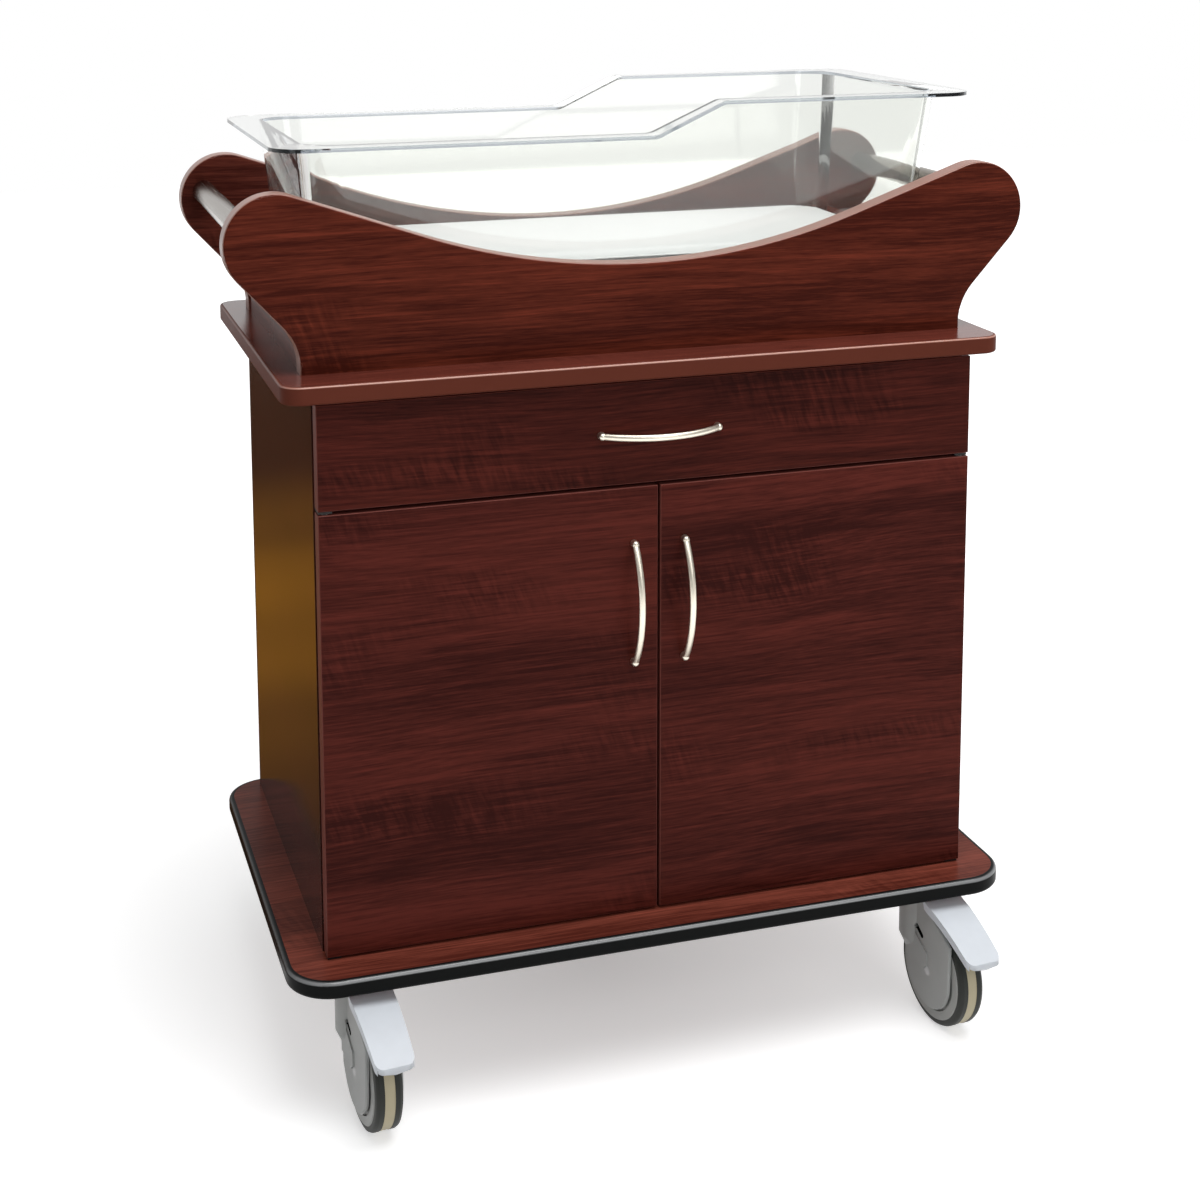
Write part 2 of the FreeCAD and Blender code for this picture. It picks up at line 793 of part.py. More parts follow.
def lower_pivot():
    """A plate on the base board with an upright pin for the left door."""
    plate = tongue(pivot_y - pivot_pin_diameter + pivot_foot_depth, base_top)
    front_part = box(-half_cabinet, 0, front_face, carcass_front,
                     base_top, base_top + pivot_plate_thickness)
    plate = plate.common(front_part)
    pin_z = base_top + pivot_plate_thickness
    pin = pivot_pin(pin_z, door_bottom - pin_z + pivot_pin_engagement)
    return plate.fuse(pin).removeSplitter()


def bush(z_start):
    """A nylon bush in the left door round a pivot pin."""
    bore = pivot_pin_diameter / 2 + pivot_bush_clearance
    outer = cylinder(pivot_bush_diameter / 2, (-pivot_x, pivot_y, z_start),
                     Z_AXIS, pivot_bush_length)
    inner = cylinder(bore, (-pivot_x, pivot_y, z_start),
                     Z_AXIS, pivot_bush_length)
    return outer.cut(inner)


def bush_seat(z_start):
    """The hole in the left door that a bush is pressed into."""
    return cylinder(pivot_bush_diameter / 2, (-pivot_x, pivot_y, z_start),
                    Z_AXIS, pivot_bush_length)


lower_bush_z = door_bottom
upper_bush_z = door_top - pivot_bush_length
left_pivots = [upper_pivot(), lower_pivot()]
left_bushes = [bush(lower_bush_z), bush(upper_bush_z)]
door_left = softened_front(-front_half, -door_middle_gap / 2,
                           door_bottom, door_top)
for seat_z in (lower_bush_z, upper_bush_z):
    door_left = door_left.cut(bush_seat(seat_z))
save("door_pivots", *(left_pivots + [mirrored(part) for part in left_pivots]))
save("door_left", door_left)
save("door_right", mirrored(door_left))
save("door_left_bushes", *left_bushes)
save("door_right_bushes", *[mirrored(part) for part in left_bushes])

catch_left = box(-catch_offset - catch_width / 2, -catch_offset + catch_width / 2,
                 carcass_front, carcass_front + catch_depth,
                 divider_bottom - catch_height, divider_bottom)
save("door_catches", catch_left, mirrored(catch_left))


# ------------------------------------------------------------------ casters
# A caster is drawn with its swivel axis on Z and its wheel trailing to -Y,
# then turned to its rest angle and moved to its corner.
axle_height = wheel_diameter / 2
fork_top = caster_height - plate_thickness - fork_plate_gap
pocket_half_width = wheel_width / 2 + wheel_side_clearance
pocket_radius = wheel_diameter / 2 + wheel_tread_clearance
pedal_half_width = cheek_half_width + pedal_skirt_gap + pedal_skirt_thickness


def side_prism(points, half_width):
    """A prism across X from side-view points given as reach and height."""
    face = polygon_face([(-half_width, -reach, z) for reach, z in points])
    return face.extrude(X_AXIS * (2 * half_width))


def cross_cylinder(radius, reach, z, half_width):
    """A cylinder along X at a reach in front of the swivel axis."""
    return cylinder(radius, (-half_width, -reach, z), X_AXIS, 2 * half_width)


def tangent_from(point, turn):
    """Where a line from a point touches the round end of the cheeks."""
    gap_reach = wheel_trail - point[0]
    gap_z = axle_height - point[1]
    distance = math.hypot(gap_reach, gap_z)
    spread = math.acos(cheek_round_radius / distance)
    angle = math.atan2(-gap_z, -gap_reach) + turn * spread
    return (wheel_trail + cheek_round_radius * math.cos(angle),
            axle_height + cheek_round_radius * math.sin(angle))


def cheek_prism(half_width):
    """The side view of the fork: a crown, a brow and a big round end."""
    heel = (-housing_radius, housing_skirt_height)
    nose = (fork_nose_reach, fork_nose_height)
    outline = [
        (-housing_radius, fork_top),
        (fork_crown_reach, fork_top),
        (fork_brow_reach, fork_brow_height),
        nose,
        tangent_from(nose, -1),
        (wheel_trail, axle_height),
        tangent_from(heel, 1),
        heel,
    ]
    prism = side_prism(outline, half_width)
    round_end = cross_cylinder(cheek_round_radius, wheel_trail,
                               axle_height, half_width)
    return prism.fuse(round_end).removeSplitter()


def make_fork():
    """A moulded fork: round housing, two cheeks and a pocket for the wheel."""
    cheeks = cheek_prism(cheek_half_width)
    rims = plane_edges(cheeks, "X", cheek_half_width)
    rims += plane_edges(cheeks, "X", -cheek_half_width)
    cheeks = cheeks.makeFillet(cheek_edge_radius, rims)

    housing = cylinder(housing_radius, (0, 0, housing_skirt_height), Z_AXIS,
                       fork_top - housing_skirt_height)
    taper = Part.makeCone(housing_cone_radius, housing_radius,
                          housing_skirt_height - housing_cone_height,
                          Vector(0, 0, housing_cone_height), Z_AXIS)
    front_space = box(-housing_radius - 1, housing_radius + 1,
                      -fork_nose_reach - 1, 0, 0, fork_top)
    cheeks = cheeks.common(front_space)
    shoulder = side_prism([
        (-housing_radius, fork_top),
        (fork_crown_reach + shoulder_step, fork_top),
        (fork_crown_reach, slot_height + slot_length),
        (slot_reach - slot_width, slot_height - slot_width),
        (wheel_trail, axle_height + cheek_round_radius / 2),
        (wheel_trail, axle_height),
        (0, housing_cone_height),
        (-housing_radius, housing_skirt_height),
    ], cheek_half_width + shoulder_step)
    shoulder = shoulder.common(cheek_prism(cheek_half_width + shoulder_step))
    shoulder = shoulder.common(front_space)
    brow_slope = side_prism([
        (fork_crown_reach, fork_top),
        (fork_brow_reach, fork_brow_height),
        (fork_brow_reach, fork_top + 1),
        (fork_crown_reach, fork_top + 1),
    ], housing_radius + 1)
    body = cheeks.fuse([housing, taper, shoulder]).cut(brow_slope)

    pocket = cross_cylinder(pocket_radius, wheel_trail, axle_height,
                            pocket_half_width)
    shoe_bay = side_prism([
        (shoe_start_reach - wheel_tread_clearance, axle_height),
        (shoe_start_reach - wheel_tread_clearance, fork_top),
        (pedal_tip_reach, fork_top),
        (pedal_tip_reach, axle_height),
    ], pocket_half_width)
    lug_half = pedal_lug_width / 2 + pedal_lug_gap
    lug_room = pedal_lug_radius + 2 * pedal_lug_gap
    lug_slot = side_prism([
        (pedal_pin_reach - lug_room, pedal_pin_height - lug_room),
        (pedal_pin_reach - lug_room, fork_top + 1),
        (pedal_pin_reach + lug_room, fork_top + 1),
        (pedal_pin_reach + lug_room, pedal_pin_height - lug_room),
    ], lug_half)
    body = body.cut(pocket).cut(shoe_bay).cut(lug_slot)

    kingpin_hole = cylinder(kingpin_diameter / 2 + kingpin_clearance,
                            (0, 0, fork_top - kingpin_length), Z_AXIS,
                            kingpin_length + 1)
    axle_hole = cross_cylinder(axle_diameter / 2, wheel_trail, axle_height,
                               housing_radius)
    pin_hole = cross_cylinder(pedal_pin_diameter / 2, pedal_pin_reach,
                              pedal_pin_height, housing_radius)
    body = body.cut(kingpin_hole).cut(axle_hole).cut(pin_hole)
    return body.cut(make_slot()).removeSplitter()


def make_slot():
    """The sloping slot through both cheeks near the housing."""
    slope = math.radians(slot_slope)
    half = (slot_length - slot_width) / 2
    run_reach = half * math.cos(slope)
    run_z = half * math.sin(slope)
    side_reach = slot_width / 2 * math.sin(slope)
    side_z = slot_width / 2 * math.cos(slope)
    upper = (slot_reach - run_reach, slot_height + run_z)
    lower = (slot_reach + run_reach, slot_height - run_z)
    cut = side_prism([
        (upper[0] + side_reach, upper[1] + side_z),
        (lower[0] + side_reach, lower[1] + side_z),
        (lower[0] - side_reach, lower[1] - side_z),
        (upper[0] - side_reach, upper[1] - side_z),
    ], housing_radius)
    for reach, z in (upper, lower):
        cut = cut.fuse(cross_cylinder(slot_width / 2, reach, z, housing_radius))
    return cut


def make_pins():
    """The wheel's axle and the pedal's pin, each across the whole fork."""
    axle = cross_cylinder(axle_diameter / 2, wheel_trail, axle_height,
                          cheek_half_width)
    pin = cross_cylinder(pedal_pin_diameter / 2, pedal_pin_reach,
                         pedal_pin_height, cheek_half_width)
    return Part.makeCompound([axle, pin])


def pedal_top_edges(drop, x):
    """The pedal's curved top line in side view, lowered by a drop."""
    start = Vector(x, -pedal_start_reach, pedal_crown_height - drop)
    brow = Vector(x, -pedal_brow_reach, pedal_brow_height - drop)
    knee = Vector(x, -pedal_knee_reach, pedal_knee_height - drop)
    tip = Vector(x, -pedal_tip_reach, pedal_tip_height - drop)
    return [Part.Arc(start, brow, knee).toShape(), Part.makeLine(knee, tip)]


def pedal_slab(depth, half_width):
    """The pedal's side view, a depth thick, drawn across its width."""
    upper = pedal_top_edges(0.0, -half_width)
    lower = pedal_top_edges(depth, -half_width)
    ends = [Part.makeLine(upper[0].Vertexes[0].Point, lower[0].Vertexes[0].Point),
            Part.makeLine(upper[1].Vertexes[1].Point, lower[1].Vertexes[1].Point)]
    outline = Part.Wire(Part.__sortEdges__(upper + ends + lower))
    return Part.Face(outline).extrude(X_AXIS * (2 * half_width))


def make_pedal():
    """The brake pedal: a skirted plate with a pivot lug and a brake shoe."""
    skirt_depth = pedal_thickness + pedal_skirt_depth
    inner_half = pedal_half_width - pedal_skirt_thickness
    plate = pedal_slab(pedal_thickness, pedal_half_width)
    lip_end = pedal_tip_reach - pedal_thickness
    lip = pedal_slab(pedal_thickness + pedal_lip_depth, pedal_half_width)
    lip = lip.common(box(-pedal_half_width, pedal_half_width,
                         -pedal_tip_reach, -lip_end, 0, caster_height))
    skirts = pedal_slab(skirt_depth, pedal_half_width)
    skirts = skirts.cut(box(-inner_half, inner_half, -pedal_tip_reach, 0,
                            0, caster_height))
    skirts = skirts.common(skirt_side_view())
    shell = plate.fuse([lip, skirts]).common(pedal_plan())

    room_below_plate = box(-pedal_half_width, pedal_half_width,
                           -pedal_tip_reach, 0, 0, caster_height)
    room_below_plate = room_below_plate.cut(over_pedal())
    lug_half = pedal_lug_width / 2
    lug = side_prism([
        (pedal_pin_reach - pedal_lug_radius, pedal_pin_height),
        (pedal_pin_reach - pedal_lug_radius, caster_height),
        (pedal_pin_reach + pedal_lug_radius, caster_height),
        (pedal_pin_reach + pedal_lug_radius, pedal_pin_height),
    ], lug_half)
    lug = lug.fuse(cross_cylinder(pedal_lug_radius, pedal_pin_reach,
                                  pedal_pin_height, lug_half))
    lug = lug.common(room_below_plate)
    shoe_end = shoe_start_reach + shoe_length
    shoe = side_prism([
        (shoe_start_reach, axle_height),
        (shoe_start_reach, caster_height),
        (shoe_end, caster_height),
        (shoe_end, axle_height),
    ], shoe_half_width).common(room_below_plate)
    tread = cross_cylinder(wheel_diameter / 2 + shoe_clearance, wheel_trail,
                           axle_height, pedal_half_width)
    pivot = Vector(0, -pedal_pin_reach, pedal_pin_height)
    shoe.rotate(pivot, X_AXIS, pedal_press_angle)
    shoe = shoe.cut(tread)
    shoe.rotate(pivot, X_AXIS, -pedal_press_angle)
    hole = cross_cylinder(pedal_pin_diameter / 2 + pedal_pin_clearance,
                          pedal_pin_reach, pedal_pin_height, pedal_half_width)
    pedal = shell.fuse([lug, shoe]).cut(hole).removeSplitter()
    return pedal


def skirt_side_view():
    """Where the pedal has side skirts: from its pin on, cut back below."""
    skirt_depth = pedal_thickness + pedal_skirt_depth
    return side_prism([
        (pedal_pin_reach, caster_height),
        (pedal_pin_reach, pedal_crown_height - skirt_depth / 2),
        (pedal_knee_reach, axle_height),
        (2 * pedal_tip_reach, axle_height),
        (2 * pedal_tip_reach, caster_height),
    ], pedal_half_width)


def over_pedal():
    """The space above the middle of the pedal's plate."""
    half = pedal_half_width + 1
    edges = pedal_top_edges(pedal_thickness / 2, -half)
    start = edges[0].Vertexes[0].Point
    tip = edges[1].Vertexes[1].Point
    outline = edges + [
        Part.makeLine(tip, Vector(-half, tip.y, caster_height)),
        Part.makeLine(Vector(-half, tip.y, caster_height),
                      Vector(-half, start.y, caster_height)),
        Part.makeLine(Vector(-half, start.y, caster_height), start),
    ]
    face = Part.Face(Part.Wire(Part.__sortEdges__(outline)))
    return face.extrude(X_AXIS * (2 * half))


def pedal_plan():
    """The pedal's outline from above, with rounded front corners."""
    height = caster_height
    plan = box(-pedal_half_width, pedal_half_width, -pedal_tip_reach,
               -pedal_start_reach, 0, height)
    corners = []
    for edge in plan.Edges:
        bounds = edge.BoundBox
        if bounds.ZLength > height - 1 and bounds.YMin < -pedal_tip_reach + 1:
            corners.append(edge)
    return plan.makeFillet(pedal_corner_radius, corners)


def wheel_ring(points):
    """A solid of revolution about the axle from X, radius points."""
    face = polygon_face([(x, -wheel_trail, axle_height + radius)
                         for x, radius in points])
    return face.revolve(Vector(0, -wheel_trail, axle_height), X_AXIS, 360)


def make_wheel_core():
    """The plastic wheel centre: hub, recessed web and rim."""
    half = wheel_width / 2
    web = half - web_recess
    bore = axle_diameter / 2 + axle_clearance
    web_radius = cheek_round_radius + web_recess / 2
    core = wheel_ring([
        (-half + 1, bore), (half - 1, bore), (half - 1, axle_diameter),
        (web, axle_diameter), (web, web_radius), (half, web_radius + 1),
        (half, rim_radius - 1), (half - 1, rim_radius),
        (-half + 1, rim_radius), (-half, rim_radius - 1),
        (-half, web_radius + 1), (-web, web_radius), (-web, axle_diameter),
        (-half + 1, axle_diameter),
    ])
    return core


def make_tyre():
    """The tyre, rounded at its shoulders, with a groove for the stripe."""
    half = wheel_width / 2 - 1
    outer = wheel_diameter / 2
    stripe = stripe_width / 2
    return wheel_ring([
        (-half, rim_radius), (half, rim_radius),
        (half, outer - tread_shoulder), (half - 1.2, outer - tread_shoulder / 3),
        (half - tread_shoulder, outer), (stripe, outer),
        (stripe, outer - stripe_depth), (-stripe, outer - stripe_depth),
        (-stripe, outer), (-half + tread_shoulder, outer),
        (-half + 1.2, outer - tread_shoulder / 3),
        (-half, outer - tread_shoulder),
    ])


def placed_caster(shape, side_x, side_y):
    """A caster piece turned to its rest angle at one corner."""
    if side_y < 0:
        angle = caster_rest_angle
    else:
        angle = 180 - caster_rest_angle
    placed = shape.copy()
    placed.rotate(Vector(0, 0, 0), Z_AXIS, angle)
    placed.translate(Vector(side_x * swivel_offset_x,
                            side_y * swivel_offset_y, 0))
    return placed


def make_plate():
    """A mounting plate with its kingpin, fixed under the base board."""
    plate = box(-plate_length / 2, plate_length / 2,
                -plate_width / 2, plate_width / 2,
                caster_height - plate_thickness, caster_height)
    kingpin = cylinder(kingpin_diameter / 2,
                       (0, 0, fork_top - kingpin_length + fork_plate_gap),
                       Z_AXIS, kingpin_length)
    return plate.fuse(kingpin).removeSplitter()


caster_pieces = {
    "fork": make_fork(),
    "pins": make_pins(),
    "pedal": make_pedal(),
    "wheel": make_wheel_core(),
    "tyre": make_tyre(),
}
corners = {"fl": (-1, -1), "fr": (1, -1), "rl": (-1, 1), "rr": (1, 1)}
plates = []
for corner, (side_x, side_y) in corners.items():
    for piece, shape in caster_pieces.items():
        save("caster_" + corner + "_" + piece,
             placed_caster(shape, side_x, side_y))
    plate = make_plate()
    plate.translate(Vector(side_x * swivel_offset_x,
                           side_y * swivel_offset_y, 0))
    plates.append(plate)
save("caster_plates", *plates)
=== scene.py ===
# %% [markdown]
# # A hospital bassinet
# A newborn ward keeps each baby in a clear tub that sits in a wooden cradle on a small wheeled cabinet. The
# construction is finished elsewhere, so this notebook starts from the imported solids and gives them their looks: a
# printed mahogany laminate, a clear plastic tub, a white mattress, satin nickel handles and grey moulded casters.
# Every solid keeps its place. Where its own shape is right it only gets a better finish, and the few forms that
# the solids leave open, such as the mattress's crown and the pedals' arch, are made here.

# %% Load the solids
import json
import math

import bmesh
import bpy
from mathutils import Matrix, Vector, noise


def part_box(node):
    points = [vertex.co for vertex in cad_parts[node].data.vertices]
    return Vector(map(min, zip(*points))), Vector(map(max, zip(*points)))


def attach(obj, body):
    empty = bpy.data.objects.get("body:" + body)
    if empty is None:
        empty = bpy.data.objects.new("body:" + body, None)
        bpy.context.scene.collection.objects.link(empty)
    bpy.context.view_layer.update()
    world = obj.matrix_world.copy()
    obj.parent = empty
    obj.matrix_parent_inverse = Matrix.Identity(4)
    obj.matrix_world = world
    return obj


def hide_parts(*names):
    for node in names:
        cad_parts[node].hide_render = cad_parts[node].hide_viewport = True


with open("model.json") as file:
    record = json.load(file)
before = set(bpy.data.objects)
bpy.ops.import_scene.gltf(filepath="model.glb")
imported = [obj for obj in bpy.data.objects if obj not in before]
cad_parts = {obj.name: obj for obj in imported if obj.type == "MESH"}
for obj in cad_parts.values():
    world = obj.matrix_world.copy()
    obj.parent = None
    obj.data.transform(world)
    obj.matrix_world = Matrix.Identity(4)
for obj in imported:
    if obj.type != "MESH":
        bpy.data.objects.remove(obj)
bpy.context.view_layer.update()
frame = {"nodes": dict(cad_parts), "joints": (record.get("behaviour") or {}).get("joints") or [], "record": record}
MM = 0.001
QUARTER = math.pi / 2
CASTERS = ("fl", "fr", "rl", "rr")
node_body = {node: body for body, nodes in frame["record"]["behaviour"]["bodies"].items() for node in nodes}


def placed_object(name, data):
    """A new object in the scene, unturned and at the origin."""
    made = bpy.data.objects.new(name, data)
    bpy.context.scene.collection.objects.link(made)
    return made


# %% [markdown]
# ## Camera
# The object is seen from its front left and a little from above, by a camera about as high as a standing adult's
# chest. The film plane is shifted more than it is tilted, as an architect's lens does, so the cabinet's uprights
# stay nearly parallel. A camera matrix has the picture's right, its up and the backward direction as its columns,
# so the three are worked out and put in directly.

# %% Camera
PICTURE = 1200.0
FOCAL_PIXELS = 1990.25
CENTRE_ACROSS = 552.17
CENTRE_DOWN = 189.26
SENSOR = 36.0
CAMERA_PLACE = Vector((-0.692, -2.097, 1.226))
YAW, PITCH, ROLL = 0.2963, 0.1378, -0.0051


def camera_matrix(place, yaw, pitch, roll):
    """The camera's place and directions as one matrix."""
    level = math.cos(pitch)
    forward = Vector((math.sin(yaw) * level, math.cos(yaw) * level, -math.sin(pitch)))
    level_right = Vector((math.cos(yaw), -math.sin(yaw), 0))
    level_up = level_right.cross(forward)
    right = math.cos(roll) * level_right + math.sin(roll) * level_up
    up = math.cos(roll) * level_up - math.sin(roll) * level_right
    matrix = Matrix((right, up, -forward)).transposed().to_4x4()
    matrix.translation = place
    return matrix


camera_data = bpy.data.cameras.new("camera")
camera_data.sensor_fit = "HORIZONTAL"
camera_data.sensor_width = SENSOR
camera_data.lens = FOCAL_PIXELS / PICTURE * SENSOR
camera_data.shift_x = (PICTURE / 2 - CENTRE_ACROSS) / PICTURE
camera_data.shift_y = (CENTRE_DOWN - PICTURE / 2) / PICTURE
camera = placed_object("camera", camera_data)
camera.matrix_world = camera_matrix(CAMERA_PLACE, YAW, PITCH, ROLL)
bpy.context.scene.camera = camera
bpy.context.scene.view_settings.view_transform = "Standard"
print("lens", round(camera_data.lens, 2), "mm")

# %% [markdown]
# ## Small helpers for shader trees
# Shader trees written in Python get long, because every node has to be made, filled in and linked. A few helpers
# keep them short, and a node group with named sockets holds what several materials share.

# %% Shader helpers


def fill(tree, inputs, values):
    """Fill inputs by name or number, each with a value or with another node's output."""
    for key, value in values.items():
        if isinstance(value, bpy.types.NodeSocket):
            tree.links.new(value, inputs[key])
        else:
            inputs[key].default_value = value


def add(tree, kind, inputs=None, **settings):
    """Add a node, set its settings and fill its inputs."""
    made = tree.nodes.new(kind)
    for name, value in settings.items():
        setattr(made, name, value)
    fill(tree, made.inputs, inputs or {})
    return made


def maths(tree, operation, first, second=0.5, third=0.5, clamp=False):
    """A sum of one, two or three values, as far as the operation uses them."""
    inputs = {0: first, 1: second, 2: third}
    return add(tree, "ShaderNodeMath", inputs, operation=operation, use_clamp=clamp).outputs[0]


def sloped(tree, value, slope, start, clamp=True):
    """A straight line, kept between 0 and 1 unless told otherwise."""
    return maths(tree, "MULTIPLY_ADD", value, slope, start, clamp=clamp)


def swing(tree, value, middle=0.5):
    """How far a value lies from a middle one."""
    return maths(tree, "SUBTRACT", value, middle)


def scaled(tree, place, factors):
    return add(tree, "ShaderNodeVectorMath", {0: place, 1: factors}, operation="MULTIPLY").outputs[0]


def noise_value(tree, place, scale=1.0, detail=2.0, roughness=0.5, distortion=0.0):
    return add(tree, "ShaderNodeTexNoise", {
        "Vector": place, "Scale": scale, "Detail": detail, "Roughness": roughness,
        "Distortion": distortion}).outputs["Fac"]


def blend_colours(tree, share, first, second):
    """Two colours mixed by a share."""
    return add(tree, "ShaderNodeMix", {"Factor": share, 6: first, 7: second}, data_type="RGBA").outputs[2]


def mix_of(colour, factor, others=None):
    """A colour times a factor, with its own factor for green and blue where one is given."""
    others = factor if others is None else others
    return (colour[0] * factor, colour[1] * others, colour[2] * others, 1.0)


def start_group(name, inputs, outputs):
    """A shader group with sockets given as (name, kind)."""
    group = bpy.data.node_groups.new(name, "ShaderNodeTree")
    for side, sockets in (("INPUT", inputs), ("OUTPUT", outputs)):
        for label, kind in sockets:
            group.interface.new_socket(label, in_out=side, socket_type="NodeSocket" + kind)
    return group, group.nodes.new("NodeGroupInput").outputs, group.nodes.new("NodeGroupOutput").inputs


def use_group(tree, group, inputs):
    return add(tree, "ShaderNodeGroup", inputs, node_tree=group).outputs


def start_material(name):
    """A new material: its tree, its Principled shader's inputs and its object coordinates."""
    material = bpy.data.materials.new(name)
    material.use_nodes = True
    tree = material.node_tree
    shader = tree.nodes["Principled BSDF"].inputs
    place = tree.nodes.new("ShaderNodeTexCoord").outputs["Object"]
    return material, tree, shader, place


def give_looks(tree, shader, colour, roughness, height, strength, distance, more):
    """Fill a Principled shader's colour, roughness, bump and whatever else is given."""
    bump = add(tree, "ShaderNodeBump", {"Height": height, "Strength": strength, "Distance": distance})
    fill(tree, shader, {"Base Color": colour, "Roughness": roughness, "Normal": bump.outputs["Normal"], **more})


def principled(tree):
    return tree.nodes["Principled BSDF"].outputs[0]


def show(tree, shader):
    """Make a shader the one that the material's surface shows."""
    fill(tree, tree.nodes["Material Output"].inputs, {"Surface": shader.outputs[0]})


print("helpers ready")

# %% [markdown]
# ## Printed mahogany grain
# The cabinet is chipboard under a printed laminate: a dark red-brown with fine level lines a few millimetres apart,
# broad darker and lighter bands, and here and there the tall arches of a flat-sawn plank. Real wood could be a
# solid texture of growth rings, but a print looks the same on every face, so stretched noise does it better. Each
# layer adds to or takes from one tone: bands, streaks, lines, pores, arches, a few small knots, and a rippled
# figure that only appears in patches. The same group serves every board, in its own colours and place.

# %% Grain group
# each layer: spots per metre along and across the grain, detail, roughness, and how much it changes the tone
BANDS = (0.9, 13.0, 2.0, 0.5, 2.0)
STREAKS = (6.0, 210.0, 2.5, 0.6, 1.35)
LINES = (13.0, 430.0, 2.0, 0.65, 1.4)
PORES = (70.0, 1200.0, 1.0, 0.5, 0.6)
MIDDLE_TONE = 0.48
WAVER = 0.035
KNOT_SPACING, KNOT_SHARPNESS, KNOT_WEIGHT = (2.4, 5.5, 5.5), -18.0, -0.6
ARCH_SPACING, ARCH_SCALE, ARCH_RINGS, ARCH_WEIGHT = (0.55, 1.0, 6.0), 1.9, 85.0, 0.07
PATCH_START, PATCH_SHARPNESS = 0.54, 7.0
RIPPLE_LEAN, RIPPLE_SPACING = (0.0, 0.32, 0.32), (165.0, 30.0, 30.0)
RIPPLE_MIDDLE, RIPPLE_WEIGHT = 0.56, 2.5


def stretched_noise(tree, place, along, across, detail=2.0, roughness=0.5):
    """Noise whose spots are long along X: along and across count them per metre."""
    return noise_value(tree, scaled(tree, place, (along, across, across)), detail=detail, roughness=roughness)


def knot_mask(tree, place):
    """A few small round spots, far apart."""
    cells = add(tree, "ShaderNodeTexVoronoi", {"Vector": scaled(tree, place, KNOT_SPACING), "Scale": 1.0})
    return sloped(tree, cells.outputs["Distance"], KNOT_SHARPNESS, 1.0)


def plank_arches(tree, place):
    """The nested arches of a flat-sawn plank, as waves through a broad noise."""
    broad = noise_value(tree, scaled(tree, place, ARCH_SPACING), ARCH_SCALE, 0.5, 0.4)
    return maths(tree, "SINE", maths(tree, "MULTIPLY", broad, ARCH_RINGS))


def patchy_ripples(tree, place):
    """Short waves across the grain, leaning a little, that fade out between patches."""
    leaning = add(tree, "ShaderNodeVectorMath", {0: place, 1: RIPPLE_LEAN}, operation="DOT_PRODUCT")
    lean = add(tree, "ShaderNodeCombineXYZ", {"X": leaning.outputs["Value"]})
    leant = add(tree, "ShaderNodeVectorMath", {0: place, 1: lean.outputs[0]}).outputs[0]
    ripples = noise_value(tree, scaled(tree, leant, RIPPLE_SPACING), detail=1.5, distortion=0.4)
    patches = swing(tree, stretched_noise(tree, place, 3.4, 10.0, 1.5), PATCH_START)
    mask = maths(tree, "MULTIPLY", patches, PATCH_SHARPNESS, clamp=True)
    return maths(tree, "MULTIPLY", swing(tree, ripples, RIPPLE_MIDDLE), mask)


def build_grain_group():
    group, given, result = start_group(
        "printed_grain",
        [("Vector", "Vector"), ("Dark", "Color"), ("Middle", "Color"), ("Light", "Color"), ("Figure", "Float")],
        [("Color", "Color"), ("Height", "Float")])
    waver = swing(group, stretched_noise(group, given["Vector"], 1.8, 3.0, 1.0))
    lift = maths(group, "MULTIPLY", waver, WAVER)
    shift = add(group, "ShaderNodeCombineXYZ", {"Y": lift, "Z": lift})
    place = add(group, "ShaderNodeVectorMath", {0: given["Vector"], 1: shift.outputs[0]}).outputs[0]
    bands, streaks, lines, pores = [
        stretched_noise(group, place, *layer[:4]) for layer in (BANDS, STREAKS, LINES, PORES)]

    tone = sloped(group, swing(group, bands), BANDS[4], MIDDLE_TONE, clamp=False)
    for values, layer in ((streaks, STREAKS), (lines, LINES), (pores, PORES)):
        tone = sloped(group, swing(group, values), layer[4], tone, clamp=False)
    arches = maths(group, "MULTIPLY", plank_arches(group, place), given["Figure"])
    tone = sloped(group, arches, ARCH_WEIGHT, tone, clamp=False)
    tone = sloped(group, knot_mask(group, place), KNOT_WEIGHT, tone, clamp=False)
    ripples = maths(group, "MULTIPLY", patchy_ripples(group, place), given["Figure"])
    tone = sloped(group, ripples, RIPPLE_WEIGHT, tone)

    # the lower half of the tone goes from dark to middle, and the upper half from middle to light
    colour = blend_colours(group, maths(group, "MULTIPLY", tone, 2.0, clamp=True), given["Dark"], given["Middle"])
    colour = blend_colours(group, sloped(group, tone, 2.0, -1.0), colour, given["Light"])
    fill(group, result, {"Color": colour, "Height": sloped(group, lines, 0.6, pores, clamp=False)})
    return group


grain_group = build_grain_group()
print("grain group:", len(grain_group.nodes), "nodes")

# %% [markdown]
# ## Handling marks
# Nothing that stands on a ward for years is evenly shiny. Cleaning leaves faint cloudy patches in the gloss, so
# one group gives a cloudy value for the roughness and tint, and a fine speckle for bumps on moulded parts.

# %% Handling group


def build_handling_group():
    group, given, result = start_group(
        "handling",
        [("Vector", "Vector"), ("Gloss", "Float"), ("Spread", "Float"), ("Patch size", "Float"),
         ("Speckle size", "Float")],
        [("Roughness", "Float"), ("Speckle", "Float"), ("Cloud", "Float")])
    patch_scale, speckle_scale = [
        maths(group, "DIVIDE", 1.0, given[size]) for size in ("Patch size", "Speckle size")]
    clouds = noise_value(group, given["Vector"], patch_scale, 3.0, 0.6)
    speckle = noise_value(group, given["Vector"], speckle_scale, 1.0)
    uneven = maths(group, "MULTIPLY", swing(group, clouds), given["Spread"])
    roughness = sloped(group, uneven, 2.0, given["Gloss"], clamp=False)
    fill(group, result, {"Roughness": roughness, "Speckle": speckle, "Cloud": clouds})
    return group


handling_group = build_handling_group()


